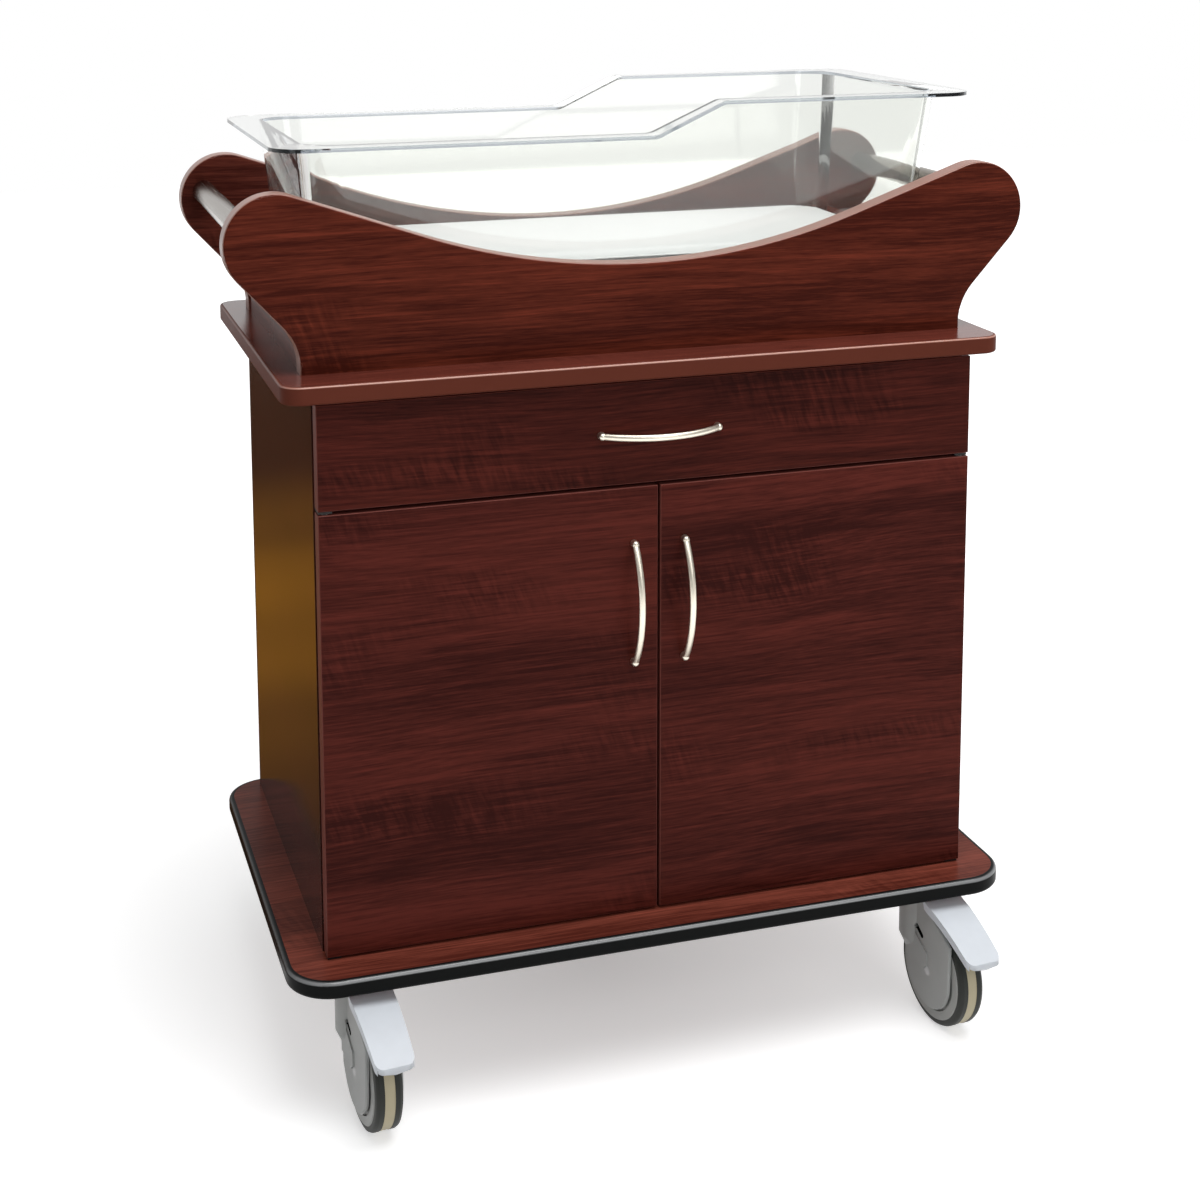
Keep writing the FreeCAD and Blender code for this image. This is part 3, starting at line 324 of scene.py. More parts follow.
def handled_surface(tree, place, gloss, spread, patch, speckle):
    """The handling group's outputs for one material: sizes in metres, gloss as a roughness."""
    return use_group(tree, handling_group, {
        "Vector": place, "Gloss": gloss, "Spread": spread, "Patch size": patch, "Speckle size": speckle})


print("handling group:", len(handling_group.nodes), "nodes")

# %% [markdown]
# ## Wood finishes
# Every board uses the grain group, but not with the same values. The fronts are darkest, and the drawer front is
# darker still as painted shade under the top board's overhang. The cradle sides are redder, and the rear one is
# darker as painted shade. The two level boards get lighter, warmer tones as painted light from above. The print runs
# from left to right on fronts and level boards, and from front to back on the cabinet's sides. Each board gets its
# own place in the pattern.

# %% Wood finishes
DARKENING, DARKENING_OTHERS, LIGHTENING = 0.52, 0.6, 0.65
FRONT_TONE = (0.0670, 0.0124, 0.0086)
# the drawer front's tone is darker than the doors' as painted shade under the top board's overhang
DRAWER_SHADED_TONE = (0.054, 0.0097, 0.0064)
CRADLE_TONE = (0.100, 0.0183, 0.0094)
# the rear cradle side's tone is darker than the front one's as painted shade
REAR_SHADED_TONE = (0.075, 0.016, 0.010)
# the two level boards' tones are lighter and warmer than the fronts' as painted light from above
TOP_LIT_TONE = (0.120, 0.027, 0.018)
BASE_LIT_TONE = (0.165, 0.039, 0.025)
SIDE_TONE = (0.035, 0.0085, 0.0055)
ALONG_X, ALONG_Y = (0, 0, 0), (0, 0, QUARTER)


def wood_finish(name, tone, gloss, centre, turn=ALONG_X, figure=0.5, contrast=1.0, mirror=0.05):
    """Printed laminate: its tone, gloss, place in the print and how much it mirrors."""
    material, tree, shader, place = start_material(name)
    laid = add(tree, "ShaderNodeMapping", {"Vector": place, "Location": centre, "Rotation": turn},
               vector_type="TEXTURE").outputs["Vector"]
    dark = mix_of(tone, 1.0 - DARKENING * contrast, 1.0 - DARKENING_OTHERS * contrast)
    light = mix_of(tone, 1.0 + LIGHTENING * contrast)
    grain = use_group(tree, grain_group, {
        "Vector": laid, "Dark": dark, "Middle": mix_of(tone, 1.0), "Light": light, "Figure": figure})
    handled = handled_surface(tree, place, gloss, 0.05, 0.15, 0.0012)
    give_looks(tree, shader, grain["Color"], handled["Roughness"], grain["Height"], 0.12, 0.3 * MM,
               {"Specular IOR Level": mirror})
    return material


woods = {
    "drawer_front": wood_finish("wood_drawer_front", DRAWER_SHADED_TONE, 0.4, (0.31, 0.0, 0.13), figure=0.9),
    "door_left": wood_finish("wood_door_left", FRONT_TONE, 0.4, (-0.42, 0.0, 0.47)),
    "door_right": wood_finish("wood_door_right", FRONT_TONE, 0.4, (0.93, 0.0, -0.21), figure=0.7),
    "cradle_side_front": wood_finish("wood_cradle_front", CRADLE_TONE, 0.35, (0.2, 0.4, 0.3), figure=0.8),
    "cradle_side_rear": wood_finish("wood_cradle_rear", REAR_SHADED_TONE, 0.35, (-0.7, 0.1, 0.1), figure=0.8),
    "cradle_end_left": wood_finish("wood_cradle_ends", CRADLE_TONE, 0.28, (0, 0, 0.7), ALONG_Y),
    "top_board": wood_finish("wood_top", TOP_LIT_TONE, 0.22, (0.5, 0.2, 0.0),
                             figure=0.3, contrast=0.7, mirror=0.4),
    "base_board": wood_finish("wood_base", BASE_LIT_TONE, 0.3, (0.1, 0.7, 0.0),
                              figure=0.3, contrast=0.9, mirror=0.04),
    "side_panel_left": wood_finish("wood_sides", SIDE_TONE, 0.13, (0, 0, 0.3), ALONG_Y,
                                   contrast=0.9, mirror=0.45),
    "back_panel": wood_finish("wood_back", FRONT_TONE, 0.4, (0.4, 0, 0.9)),
}
woods["cradle_end_right"] = woods["cradle_end_left"]
woods["side_panel_right"] = woods["side_panel_left"]
inside = wood_finish("wood_inside", FRONT_TONE, 0.45, (0.6, 0.3, 0.2), contrast=0.6)
for board in ("cabinet_floor", "drawer_divider", "shelf", "top_rails", "tub_bearers"):
    woods[board] = inside
for board, finish in woods.items():
    frame["nodes"][board].data.materials[0] = finish
print("wood finishes:", len({finish.name for finish in woods.values()}))

# %% [markdown]
# ## Edging, rubber, metal and moulded plastic
# The rest of the finishes are simpler: a slightly cloudy colour, an uneven gloss and a fine bump, all from one
# function. The edging and the bumper also have a painted highlight on their upper front arris: a lighter colour with
# a coat, strongest where they face the front.

# %% Plain finishes
ARRIS_RISE, ARRIS_SHARPNESS, ARRIS_BREADTH = 0.6, -5.0, 1.9
FORWARD_SHARPNESS, FORWARD_START = -1.2, 0.2


def arris_highlight_mask(tree):
    """A mask for a painted highlight: faces that slope up at about 45 degrees, strongest where they face the front.
    """
    outward = tree.nodes.new("ShaderNodeNewGeometry").outputs["Normal"]
    facing = add(tree, "ShaderNodeSeparateXYZ", {0: outward}).outputs
    off_slope = maths(tree, "ABSOLUTE", swing(tree, facing["Z"], ARRIS_RISE))
    arris = sloped(tree, off_slope, ARRIS_SHARPNESS, ARRIS_BREADTH)
    return maths(tree, "MULTIPLY", arris, sloped(tree, facing["Y"], FORWARD_SHARPNESS, FORWARD_START))


def plain_finish(name, colour, gloss, metal=0.0, spread=0.06, cloudiness=0.12, patch=0.06, speckle=0.001,
                 bump=0.1, mirror=0.5, highlight_colour=None):
    """One colour with a cloudy tint, an uneven gloss and a fine bump, and perhaps a painted highlight on the upper
    arris.
    """
    material, tree, shader, place = start_material(name)
    handled = handled_surface(tree, place, gloss, spread, patch, speckle)
    darker, lighter = mix_of(colour, 1.0 - cloudiness), mix_of(colour, 1.0 + cloudiness)
    tint = blend_colours(tree, handled["Cloud"], darker, lighter)
    # the painted highlight: a lighter colour and a coat on the upper front arris
    if highlight_colour:
        arris = arris_highlight_mask(tree)
        tint = blend_colours(tree, arris, tint, mix_of(highlight_colour, 1.0))
        fill(tree, shader, {"Coat Weight": arris})
    give_looks(tree, shader, tint, handled["Roughness"], handled["Speckle"], bump, 0.2 * MM,
               {"Metallic": metal, "Specular IOR Level": mirror})
    return material


finishes = {
    # the second colours of the edging and the bumper are painted highlights on their upper front arris
    "edging": plain_finish("edging_brown", (0.120, 0.031, 0.019), 0.42, patch=0.2, bump=0.05, mirror=0.03,
                           highlight_colour=(0.42, 0.2, 0.15)),
    # the cradle's edge band: its light pink is painted sheen on the edges
    "edge_band": plain_finish("edge_band_painted_sheen", (0.30, 0.14, 0.105), 0.35, patch=0.2, bump=0.05),
    "front_edge": plain_finish("edge_band_red", (0.16, 0.045, 0.035), 0.4, patch=0.2, bump=0.05, mirror=0.1),
    "bumper": plain_finish("bumper_black", (0.007, 0.0075, 0.0075), 0.34, patch=0.1, mirror=0.04,
                           highlight_colour=(0.22, 0.225, 0.23)),
    "nickel": plain_finish("satin_nickel", (0.84, 0.78, 0.66), 0.38, metal=1.0, spread=0.03, cloudiness=0.04),
    "zinc": plain_finish("zinc_plate", (0.42, 0.42, 0.42), 0.4, metal=1.0),
    "dark_steel": plain_finish("dark_steel", (0.03, 0.028, 0.027), 0.45, metal=0.6),
    "nylon": plain_finish("white_nylon", (0.75, 0.75, 0.72), 0.45),
    "drawer_board": plain_finish("drawer_melamine", (0.6, 0.58, 0.53), 0.4, patch=0.3),
    "housing": plain_finish("caster_housing_grey", (0.39, 0.40, 0.39), 0.4, speckle=0.0006, bump=0.16,
                            mirror=0.3),
    "pedal": plain_finish("pedal_light_grey", (0.68, 0.72, 0.77), 0.36, speckle=0.0006),
    "wheel": plain_finish("wheel_centre_grey", (0.33, 0.335, 0.32), 0.4, speckle=0.0006),
    "tyre": plain_finish("tyre_grey", (0.034, 0.036, 0.032), 0.5, speckle=0.0005, bump=0.2, mirror=0.2),
    "stripe": plain_finish("tyre_stripe_beige", (0.5, 0.44, 0.29), 0.5, speckle=0.0005),
    # the slots' near black is painted shade
    "recess": plain_finish("recess_black", (0.006, 0.006, 0.006), 0.6, mirror=0.05),
}
print("plain finishes:", len(finishes))

# %% [markdown]
# ## Brushed rods
# The push rods are stainless tube, brushed lengthwise, so their gloss breaks up along the rod. Long thin noise in
# the rod's direction, fed to the roughness and to a slight bump, gives that look without any image.

# %% Brushed steel
HAIR_SPACING = (1500.0, 14.0, 1500.0)


def brushed_finish(name, colour, gloss):
    material, tree, shader, place = start_material(name)
    hairs = noise_value(tree, scaled(tree, place, HAIR_SPACING))
    rough = sloped(tree, swing(tree, hairs), 0.25, gloss, clamp=False)
    tint = blend_colours(tree, hairs, mix_of(colour, 0.85), mix_of(colour, 1.1))
    give_looks(tree, shader, tint, rough, hairs, 0.12, 0.1 * MM, {"Metallic": 1.0})
    return material


finishes["steel"] = brushed_finish("brushed_steel", (0.23, 0.205, 0.175), 0.22)
print("steel ready")

# %% [markdown]
# ## Clear tub plastic
# The tub is moulded from a clear plastic that has gone very slightly milky. Full refraction would be the true
# model, but light that reaches the mattress through refracting walls turns dark and noisy. So the shader keeps real
# transmission for what is seen, and lets shadow rays straight through. A wall that is seen edge-on looks a little
# darker and bluer, because the line of sight runs further through the plastic.

# %% Clear plastic
CLEAR_IOR = 1.45
CLEAR_SHARE = 0.985
CLEAR_MIRROR = 0.28
EDGE_ON_POWER = 9.0


def clear_finish(name, cloudy, clear, edge_on_tint):
    """Clear plastic between two tints, with a third where it is seen edge-on."""
    material, tree, shader, place = start_material(name)
    handled = handled_surface(tree, place, 0.03, 0.02, 0.2, 0.004)
    tint = blend_colours(tree, handled["Cloud"], mix_of(cloudy, 1.0), mix_of(clear, 1.0))
    facing = add(tree, "ShaderNodeLayerWeight", {"Blend": 0.5}).outputs["Facing"]
    edge_on = maths(tree, "POWER", facing, EDGE_ON_POWER)
    tint = blend_colours(tree, edge_on, tint, mix_of(edge_on_tint, 1.0))
    fill(tree, shader, {"Base Color": tint, "Roughness": handled["Roughness"], "IOR": CLEAR_IOR,
                        "Transmission Weight": CLEAR_SHARE, "Specular IOR Level": CLEAR_MIRROR})
    passing = add(tree, "ShaderNodeBsdfTransparent", {"Color": (0.92, 0.93, 0.93, 1)})
    rays = tree.nodes.new("ShaderNodeLightPath").outputs
    soft_rays = maths(tree, "MAXIMUM", rays["Is Shadow Ray"], rays["Is Diffuse Ray"])
    show(tree, add(tree, "ShaderNodeMixShader", {0: soft_rays, 1: principled(tree), 2: passing.outputs[0]}))
    return material


finishes["clear"] = clear_finish(
    "clear_plastic", cloudy=(0.885, 0.90, 0.87), clear=(0.92, 0.93, 0.905), edge_on_tint=(0.80, 0.83, 0.87))
# the rim's tints are painted shade, darker and bluer than the walls'
finishes["clear_edge"] = clear_finish(
    "clear_plastic_rim_shade", cloudy=(0.24, 0.27, 0.32), clear=(0.33, 0.37, 0.41), edge_on_tint=(0.2, 0.23, 0.28))
print("clear plastic ready")

# %% [markdown]
# ## Smooth copies
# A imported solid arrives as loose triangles. Flat boards are fine as they are, but curved parts such as the tub, the
# casters and the handles need shared points, so that their shading runs smoothly across the curve and breaks only
# at real edges. Each of these gets a merged copy that stands for the solid, in the very same place.

# %% Tools for smooth copies
MERGE_DISTANCE = 0.01 * MM
FLAT_ANGLE = math.radians(0.3)
EDGE_ANGLE = math.radians(32)
BEVEL_ANGLE = math.radians(50)
FACE_WEIGHT = 80


def evaluated_mesh(piece):
    graph = bpy.context.evaluated_depsgraph_get()
    return bpy.data.meshes.new_from_object(piece.evaluated_get(graph))


def applied(piece):
    """The piece with its modifiers worked into its mesh."""
    mesh = evaluated_mesh(piece)
    piece.modifiers.clear()
    piece.data = mesh
    return piece


def merged_copy(node, name, changes=()):
    """An object with a copy of a solid's mesh, joined at shared points and changed by a few functions."""
    mesh = frame["nodes"][node].data.copy()
    work = bmesh.new()
    work.from_mesh(mesh)
    bmesh.ops.remove_doubles(work, verts=work.verts, dist=MERGE_DISTANCE)
    for change in changes:
        change(work)
    work.to_mesh(mesh)
    work.free()
    mesh.materials.clear()
    return placed_object(name, mesh)


def join_flat_faces(work):
    bmesh.ops.dissolve_limit(work, angle_limit=FLAT_ANGLE, verts=work.verts, edges=work.edges)


def smooth_copy(node, finish, edge_angle=EDGE_ANGLE, bevel=0.0, reshape=()):
    """A merged and smoothly shaded copy of a solid, in its place."""
    piece = merged_copy(node, node + "_finished", (join_flat_faces, *reshape))
    piece.data.materials.append(finish)
    if bevel:
        rounding = piece.modifiers.new("rounded edges", "BEVEL")
        rounding.width = bevel
        rounding.segments = 2
        rounding.limit_method = "ANGLE"
        rounding.angle_limit = BEVEL_ANGLE
        applied(piece)
    piece.data.shade_smooth()
    piece.data.set_sharp_from_angle(angle=edge_angle)
    weighted = piece.modifiers.new("weighted normals", "WEIGHTED_NORMAL")
    weighted.mode = "FACE_AREA"
    weighted.weight = FACE_WEIGHT
    weighted.keep_sharp = True
    applied(piece)
    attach(piece, node_body[node])
    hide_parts(node)
    return piece


def paint(piece, finish, chosen):
    """Give a piece's second finish to the faces that a test picks, and count them."""
    piece.data.materials.append(finish)
    picked = [face for face in piece.data.polygons if chosen(face)]
    for face in picked:
        face.material_index = 1
    return len(picked)


def joint_named(name):
    """A joint's place and its direction."""
    joint = next(joint for joint in frame["joints"] if joint["name"] == name)
    return Vector(joint["pos_m"]), Vector(joint["axis"]).normalized()


def caster_frame(caster):
    """A caster's swivel point on the floor, the direction its wheel trails to and the axle's direction."""
    swivel = joint_named("swivel_" + caster)[0]
    centre, axle = joint_named("spin_" + caster)
    trail = Vector((centre.x - swivel.x, centre.y - swivel.y, 0)).normalized()
    return Vector((swivel.x, swivel.y, 0)), trail, axle


print("tools for copies ready")

# %% [markdown]
# ## Arched brake pedals
# The pedal's solid has a straight slope behind its crown. A real one arches over its whole length, narrows towards
# its tip and has rounded upper edges. So its copy is cut into short lengths, each length is lifted and narrowed by
# a smooth rule, and the edges round its top are bevelled. The brake shoe under the plate keeps its place.

# %% Arched pedals
PEDAL_START, PEDAL_TIP = 36 * MM, 123 * MM
PEDAL_STEP = 3.5 * MM
PEDAL_EASE = 24 * MM
PEDAL_TIP_LIFT = 5.2 * MM
PEDAL_ARCH = 3.8 * MM
PEDAL_NARROWING = 0.12
PEDAL_POWER = 1.3
PEDAL_HALF_WIDTH = 23 * MM
PEDAL_CORNER = 9.5 * MM
PEDAL_ROUNDING = 1.7 * MM
SLOPE_REACH, SLOPE_HEIGHT = (60 * MM, 123 * MM), (130.6 * MM, 102 * MM)
PLATE_DEPTH = 3.4 * MM
SHOE_HALF_WIDTH = 12.3 * MM
LEVEL_ENOUGH, UPRIGHT_ENOUGH = 0.6, 0.45


def cut_across(work, foot, trail):
    """Cut a pedal into short lengths by upright planes across its direction."""
    reach = PEDAL_START
    while reach < PEDAL_TIP - PEDAL_STEP / 2:
        everything = list(work.verts) + list(work.edges) + list(work.faces)
        bmesh.ops.bisect_plane(work, geom=everything, plane_co=foot + trail * reach, plane_no=trail)
        reach += PEDAL_STEP


def upper_rim(work, foot, trail, axle):
    """The outer edges between a nearly level face and a nearly upright one."""
    rim = []
    work.normal_update()
    for edge in work.edges:
        if len(edge.link_faces) != 2:
            continue
        level, upright = sorted(edge.link_faces, key=lambda face: -face.normal.z)
        offset = (edge.verts[0].co + edge.verts[1].co) / 2 - foot
        at_side = abs(offset.dot(axle)) > PEDAL_HALF_WIDTH - PEDAL_CORNER
        at_tip = offset.dot(trail) > PEDAL_TIP - PEDAL_CORNER
        if level.normal.z > LEVEL_ENOUGH and abs(upright.normal.z) < UPRIGHT_ENOUGH and (at_side or at_tip):
            rim.append(edge)
    return rim


def pedal_lift(reach, share):
    """How far the pedal is lifted at a reach: eased in, then an arch on a rising line."""
    ease = min((reach - PEDAL_START) / PEDAL_EASE, 1.0)
    rise = PEDAL_TIP_LIFT * share ** PEDAL_POWER + PEDAL_ARCH * math.sin(math.pi * min(share, 1.0))
    return rise * ease * ease * (3 - 2 * ease)


def arch_pedal(work, caster):
    """Lift and narrow a pedal by how far each point is from the swivel, and round its upper edges."""
    foot, trail, axle = caster_frame(caster)
    cut_across(work, foot, trail)
    rim = upper_rim(work, foot, trail, axle)
    fall = (SLOPE_HEIGHT[1] - SLOPE_HEIGHT[0]) / (SLOPE_REACH[1] - SLOPE_REACH[0])
    for vertex in work.verts:
        offset = vertex.co - foot
        reach, across = offset.dot(trail), offset.dot(axle)
        share = (reach - PEDAL_START) / (PEDAL_TIP - PEDAL_START)
        if share <= 0:
            continue
        plate_top = SLOPE_HEIGHT[0] + fall * (reach - SLOPE_REACH[0])
        if vertex.co.z > plate_top - PLATE_DEPTH or abs(across) > SHOE_HALF_WIDTH:
            vertex.co.z += pedal_lift(reach, share)
        vertex.co -= axle * (across * PEDAL_NARROWING * share ** PEDAL_POWER)
    bmesh.ops.bevel(work, geom=rim, offset=PEDAL_ROUNDING, offset_type="OFFSET", segments=3, profile=0.5,
                    affect="EDGES", clamp_overlap=True)


print("pedal rule ready")

# %% [markdown]
# ## The copies
# Most copies have one finish. The cradle's sides have a pinkish band on their edges, lighter than the laminate as
# painted sheen, and the drawer front and the doors have a red one and a small bevel, so those faces, which don't face
# the front or the back, are painted.

# %% The copies
EDGE_FACING, FRONT_EDGE_FACING = 0.75, 0.93
FRONT_BEVEL = 0.9 * MM
curved = {
    "base_bumper": ("bumper", "bumper"),
    "top_edging": ("edging", "edge_band"),
    "push_rod_left": ("steel", "steel_rod"),
    "push_rod_right": ("steel", "steel_rod"),
    "drawer_handle": ("nickel", "nickel"),
    "door_left_handle": ("nickel", "nickel"),
    "door_right_handle": ("nickel", "nickel"),
    "tub": ("clear", "clear_plastic"),
}
for caster in CASTERS:
    curved["caster_" + caster + "_fork"] = ("housing", "caster_housing")
    curved["caster_" + caster + "_wheel"] = ("wheel", "wheel_plastic")
    curved["caster_" + caster + "_tyre"] = ("tyre", "tyre")
copies = {node: smooth_copy(node, finishes[finish]) for node, (finish, slot) in curved.items()}
for caster in CASTERS:
    node = "caster_" + caster + "_pedal"
    copies[node] = smooth_copy(node, finishes["pedal"],
                               reshape=[lambda work, caster=caster: arch_pedal(work, caster)])
for node in ("cradle_side_front", "cradle_side_rear"):
    copies[node] = smooth_copy(node, woods[node])
    paint(copies[node], finishes["edge_band"], lambda face: abs(face.normal.y) < EDGE_FACING)
for node in ("drawer_front", "door_left", "door_right"):
    copies[node] = smooth_copy(node, woods[node], BEVEL_ANGLE, FRONT_BEVEL)
    paint(copies[node], finishes["front_edge"], lambda face: abs(face.normal.y) < FRONT_EDGE_FACING)
print("smooth copies:", len(copies))

# %% [markdown]
# ## Rim of the tub
# Light enters a clear sheet and leaves at its cut edges, so the lip round the tub gets a darker, bluer tint than the
# walls, as painted shade for that light. The lip's faces are the ones that lie close to the tub's outline in plan, a
# rectangle with rounded corners.

# %% Rim of the tub
TUB_LOW, TUB_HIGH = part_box("tub")
RIM_CORNER = 36 * MM
LIP_DEPTH = 3.2 * MM


def inside_outline(point, low, high, radius):
    """How far a point lies inside a level rectangle with rounded corners."""
    middle = (low + high) / 2
    reach_x = abs(point.x - middle.x) - (high.x - low.x) / 2 + radius
    reach_y = abs(point.y - middle.y) - (high.y - low.y) / 2 + radius
    beyond = math.hypot(max(reach_x, 0.0), max(reach_y, 0.0))
    return radius - beyond - min(max(reach_x, reach_y), 0.0)


lip_faces = paint(copies["tub"], finishes["clear_edge"],
                  lambda face: inside_outline(face.center, TUB_LOW, TUB_HIGH, RIM_CORNER) < LIP_DEPTH)
print("lip faces:", lip_faces)

# %% [markdown]
# ## Slots in the casters' cheeks
# Each fork has a sloping slot in both cheeks, and its inside is painted nearly black, as painted shade for a deep
# hole. Its faces are the ones near the slot's middle line and behind the cheek's outer face.

# %% Slots in the cheeks
SLOT_REACH, SLOT_HEIGHT = 23.5 * MM, 99.5 * MM
SLOT_HALF_LINE = 6 * MM
SLOT_RADIUS = 3.4 * MM
SLOT_SLOPE = math.radians(34)
CHEEK_FACE = 19.6 * MM


def in_slot(point, foot, trail, axle):
    """Whether a point of a fork lies in the slot of either cheek."""
    offset = point - foot
    reach, height = offset.dot(trail) - SLOT_REACH, offset.z - SLOT_HEIGHT
    along = reach * math.cos(SLOT_SLOPE) - height * math.sin(SLOT_SLOPE)
    across = reach * math.sin(SLOT_SLOPE) + height * math.cos(SLOT_SLOPE)
    from_line = math.hypot(max(abs(along) - SLOT_HALF_LINE, 0.0), across)
    return from_line < SLOT_RADIUS and abs(offset.dot(axle)) < CHEEK_FACE


for caster in CASTERS:
    directions = caster_frame(caster)
    painted = paint(copies["caster_" + caster + "_fork"], finishes["recess"],
                    lambda face: in_slot(face.center, *directions))
    print("slots on", caster, painted, "faces")

# %% [markdown]
# ## Tread stripe
# Each tyre is grey rubber with a beige band round the middle of its tread. The band lies in a shallow groove of
# the same solid, so it needs no piece of its own: the faces of the groove's floor get the second material.

# %% Tread stripe
STRIPE_HALF = 5.6 * MM
STRIPE_DEPTH = 3 * MM


def in_stripe(point, centre, axle, radius):
    """Whether a point of a tyre lies on the band round its tread."""
    offset = point - centre
    across = offset.dot(axle)
    return abs(across) < STRIPE_HALF and (offset - axle * across).length > radius - STRIPE_DEPTH


for caster in CASTERS:
    centre, axle = joint_named("spin_" + caster)
    tyre = copies["caster_" + caster + "_tyre"]
    radius = max((vertex.co - centre).length for vertex in tyre.data.vertices)
    banded = paint(tyre, finishes["stripe"], lambda face: in_stripe(face.center, centre, axle, radius))
    print("stripe on", caster, banded, "faces")

# %% Finishes of the plain solids
plain_solids = {
    "zinc": ["shelf_pins", "slide_outer", "slide_middle", "slide_inner", "caster_plates"]
            + ["caster_" + caster + "_pins" for caster in CASTERS],
    "dark_steel": ["door_pivots"],
    "nylon": ["door_catches", "door_left_bushes", "door_right_bushes"],
    "drawer_board": ["drawer_sides", "drawer_bottom", "drawer_box_front", "drawer_box_back"],
}
for finish, nodes in plain_solids.items():
    for node in nodes:
        frame["nodes"][node].data.materials[0] = finishes[finish]
print("plain solids:", sum(len(nodes) for nodes in plain_solids.values()))

# %% [markdown]
# ## Mattress
# The mattress is a firm foam pad in a white wipe-clean cover, with a welded seam round its top and bottom edges. A
# plain rounded block would look like plaster. So the block is remeshed into even squares and blown up a little as
# cloth, which rounds its edges and pulls its sides in between the corners, and then the seams are laid on as cords.

# %% Mattress body
MATTRESS_LOW, MATTRESS_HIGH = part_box("mattress")
MATTRESS_VOXEL = 6 * MM
MATTRESS_CAP = 3 * MM
MATTRESS_FRAMES = 20
MATTRESS_PRESSURE = 4.0
SIDE_DRAW = 0.007
TOP_DROP = 1.5 * MM
TOP_CROWN, TOP_SOFTNESS = 1.0 * MM, 0.6
WARP_SPACING, WEFT_SPACING = (900.0, 60.0, 60.0), (60.0, 900.0, 60.0)


def cover_finish():
    """White coated cloth with a fine weave under the coating."""
    material, tree, shader, place = start_material("mattress_cover")
    warp, weft = [noise_value(tree, scaled(tree, place, spacing), detail=1.0)
                  for spacing in (WARP_SPACING, WEFT_SPACING)]
    handled = handled_surface(tree, place, 0.5, 0.06, 0.05, 0.002)
    tint = blend_colours(tree, handled["Cloud"], (0.86, 0.87, 0.87, 1), (0.93, 0.93, 0.925, 1))
    give_looks(tree, shader, tint, handled["Roughness"], maths(tree, "MULTIPLY", warp, weft), 0.25, 0.3 * MM,
               {"Sheen Weight": 0.15})
    return material


def mattress_body():
    """The mattress solid as an even skin of squares."""
    piece = merged_copy("mattress", "mattress_pad")
    remesh = piece.modifiers.new("even squares", "REMESH")
    remesh.mode = "VOXEL"
    remesh.voxel_size = MATTRESS_VOXEL
    remesh.use_smooth_shade = True
    return applied(piece)


def blow_up(piece, pressure, cap):
    """Swell a closed skin as cloth, without letting any point go further than the cap."""
    start = [vertex.co.copy() for vertex in piece.data.vertices]
    cloth = piece.modifiers.new("cloth", "CLOTH")
    settings = cloth.settings
    settings.quality = 5
    settings.use_pressure = True
    settings.uniform_pressure_force = pressure
    settings.effector_weights.gravity = 0.0
    settings.tension_stiffness = 25
    settings.compression_stiffness = 25
    settings.bending_stiffness = 0.6
    cloth.point_cache.frame_start = 1
    cloth.point_cache.frame_end = MATTRESS_FRAMES
    for step in range(1, MATTRESS_FRAMES + 1):
        bpy.context.scene.frame_set(step)
    applied(piece)
    for vertex, before in zip(piece.data.vertices, start):
        move = vertex.co - before
        if move.length > cap:
            vertex.co = before + move.normalized() * cap
    bpy.context.scene.frame_set(1)


def settle(vertex):
    """Keep a point flat where it lies on the tub, crowned on top and drawn in between the corners."""
    middle = (MATTRESS_LOW + MATTRESS_HIGH) / 2
    half = (MATTRESS_HIGH - MATTRESS_LOW) / 2
    height = (vertex.co.z - MATTRESS_LOW.z) / (2 * half.z)
    along = (vertex.co.x - middle.x) / half.x
    across = (vertex.co.y - middle.y) / half.y
    inset = 1.0 - SIDE_DRAW * max(0.0, 1 - along * along) * max(0.0, 1 - (2 * height - 1) ** 2)
    vertex.co.y = middle.y + (vertex.co.y - middle.y) * inset
    if height > 0.5:
        softness = noise.noise(Vector((vertex.co.x * 7, vertex.co.y * 9, 0.3)))
        crown = max(0.0, 1 - along ** 4) * max(0.0, 1 - across ** 4) * TOP_CROWN
        vertex.co.z = min(vertex.co.z, MATTRESS_HIGH.z - TOP_DROP) + crown * (1.0 + TOP_SOFTNESS * softness)
    vertex.co.z = max(vertex.co.z, MATTRESS_LOW.z)


finishes["cover"] = cover_finish()
pad = mattress_body()
blow_up(pad, MATTRESS_PRESSURE, MATTRESS_CAP)
for vertex in pad.data.vertices:
    settle(vertex)
pad.data.materials.clear()
pad.data.materials.append(finishes["cover"])
pad.data.shade_smooth()
print("mattress faces:", len(pad.data.polygons))

# %% Mattress seams
SEAM_RADIUS = 1.4 * MM
SEAM_INSET = 1.4 * MM
SEAM_FROM_EDGE = 9 * MM
MATTRESS_CORNER = 38 * MM


def rounded_loop(low, high, radius, z, steps=8):
    """Points round a level rectangle with rounded corners."""
    points = []
    corners = ((high.x - radius, high.y - radius), (low.x + radius, high.y - radius),
               (low.x + radius, low.y + radius), (high.x - radius, low.y + radius))
    for quarter, (x, y) in enumerate(corners):
        for step in range(steps + 1):
            turn = (quarter + step / steps) * QUARTER
            points.append(Vector((x + radius * math.cos(turn), y + radius * math.sin(turn), z)))
    return points


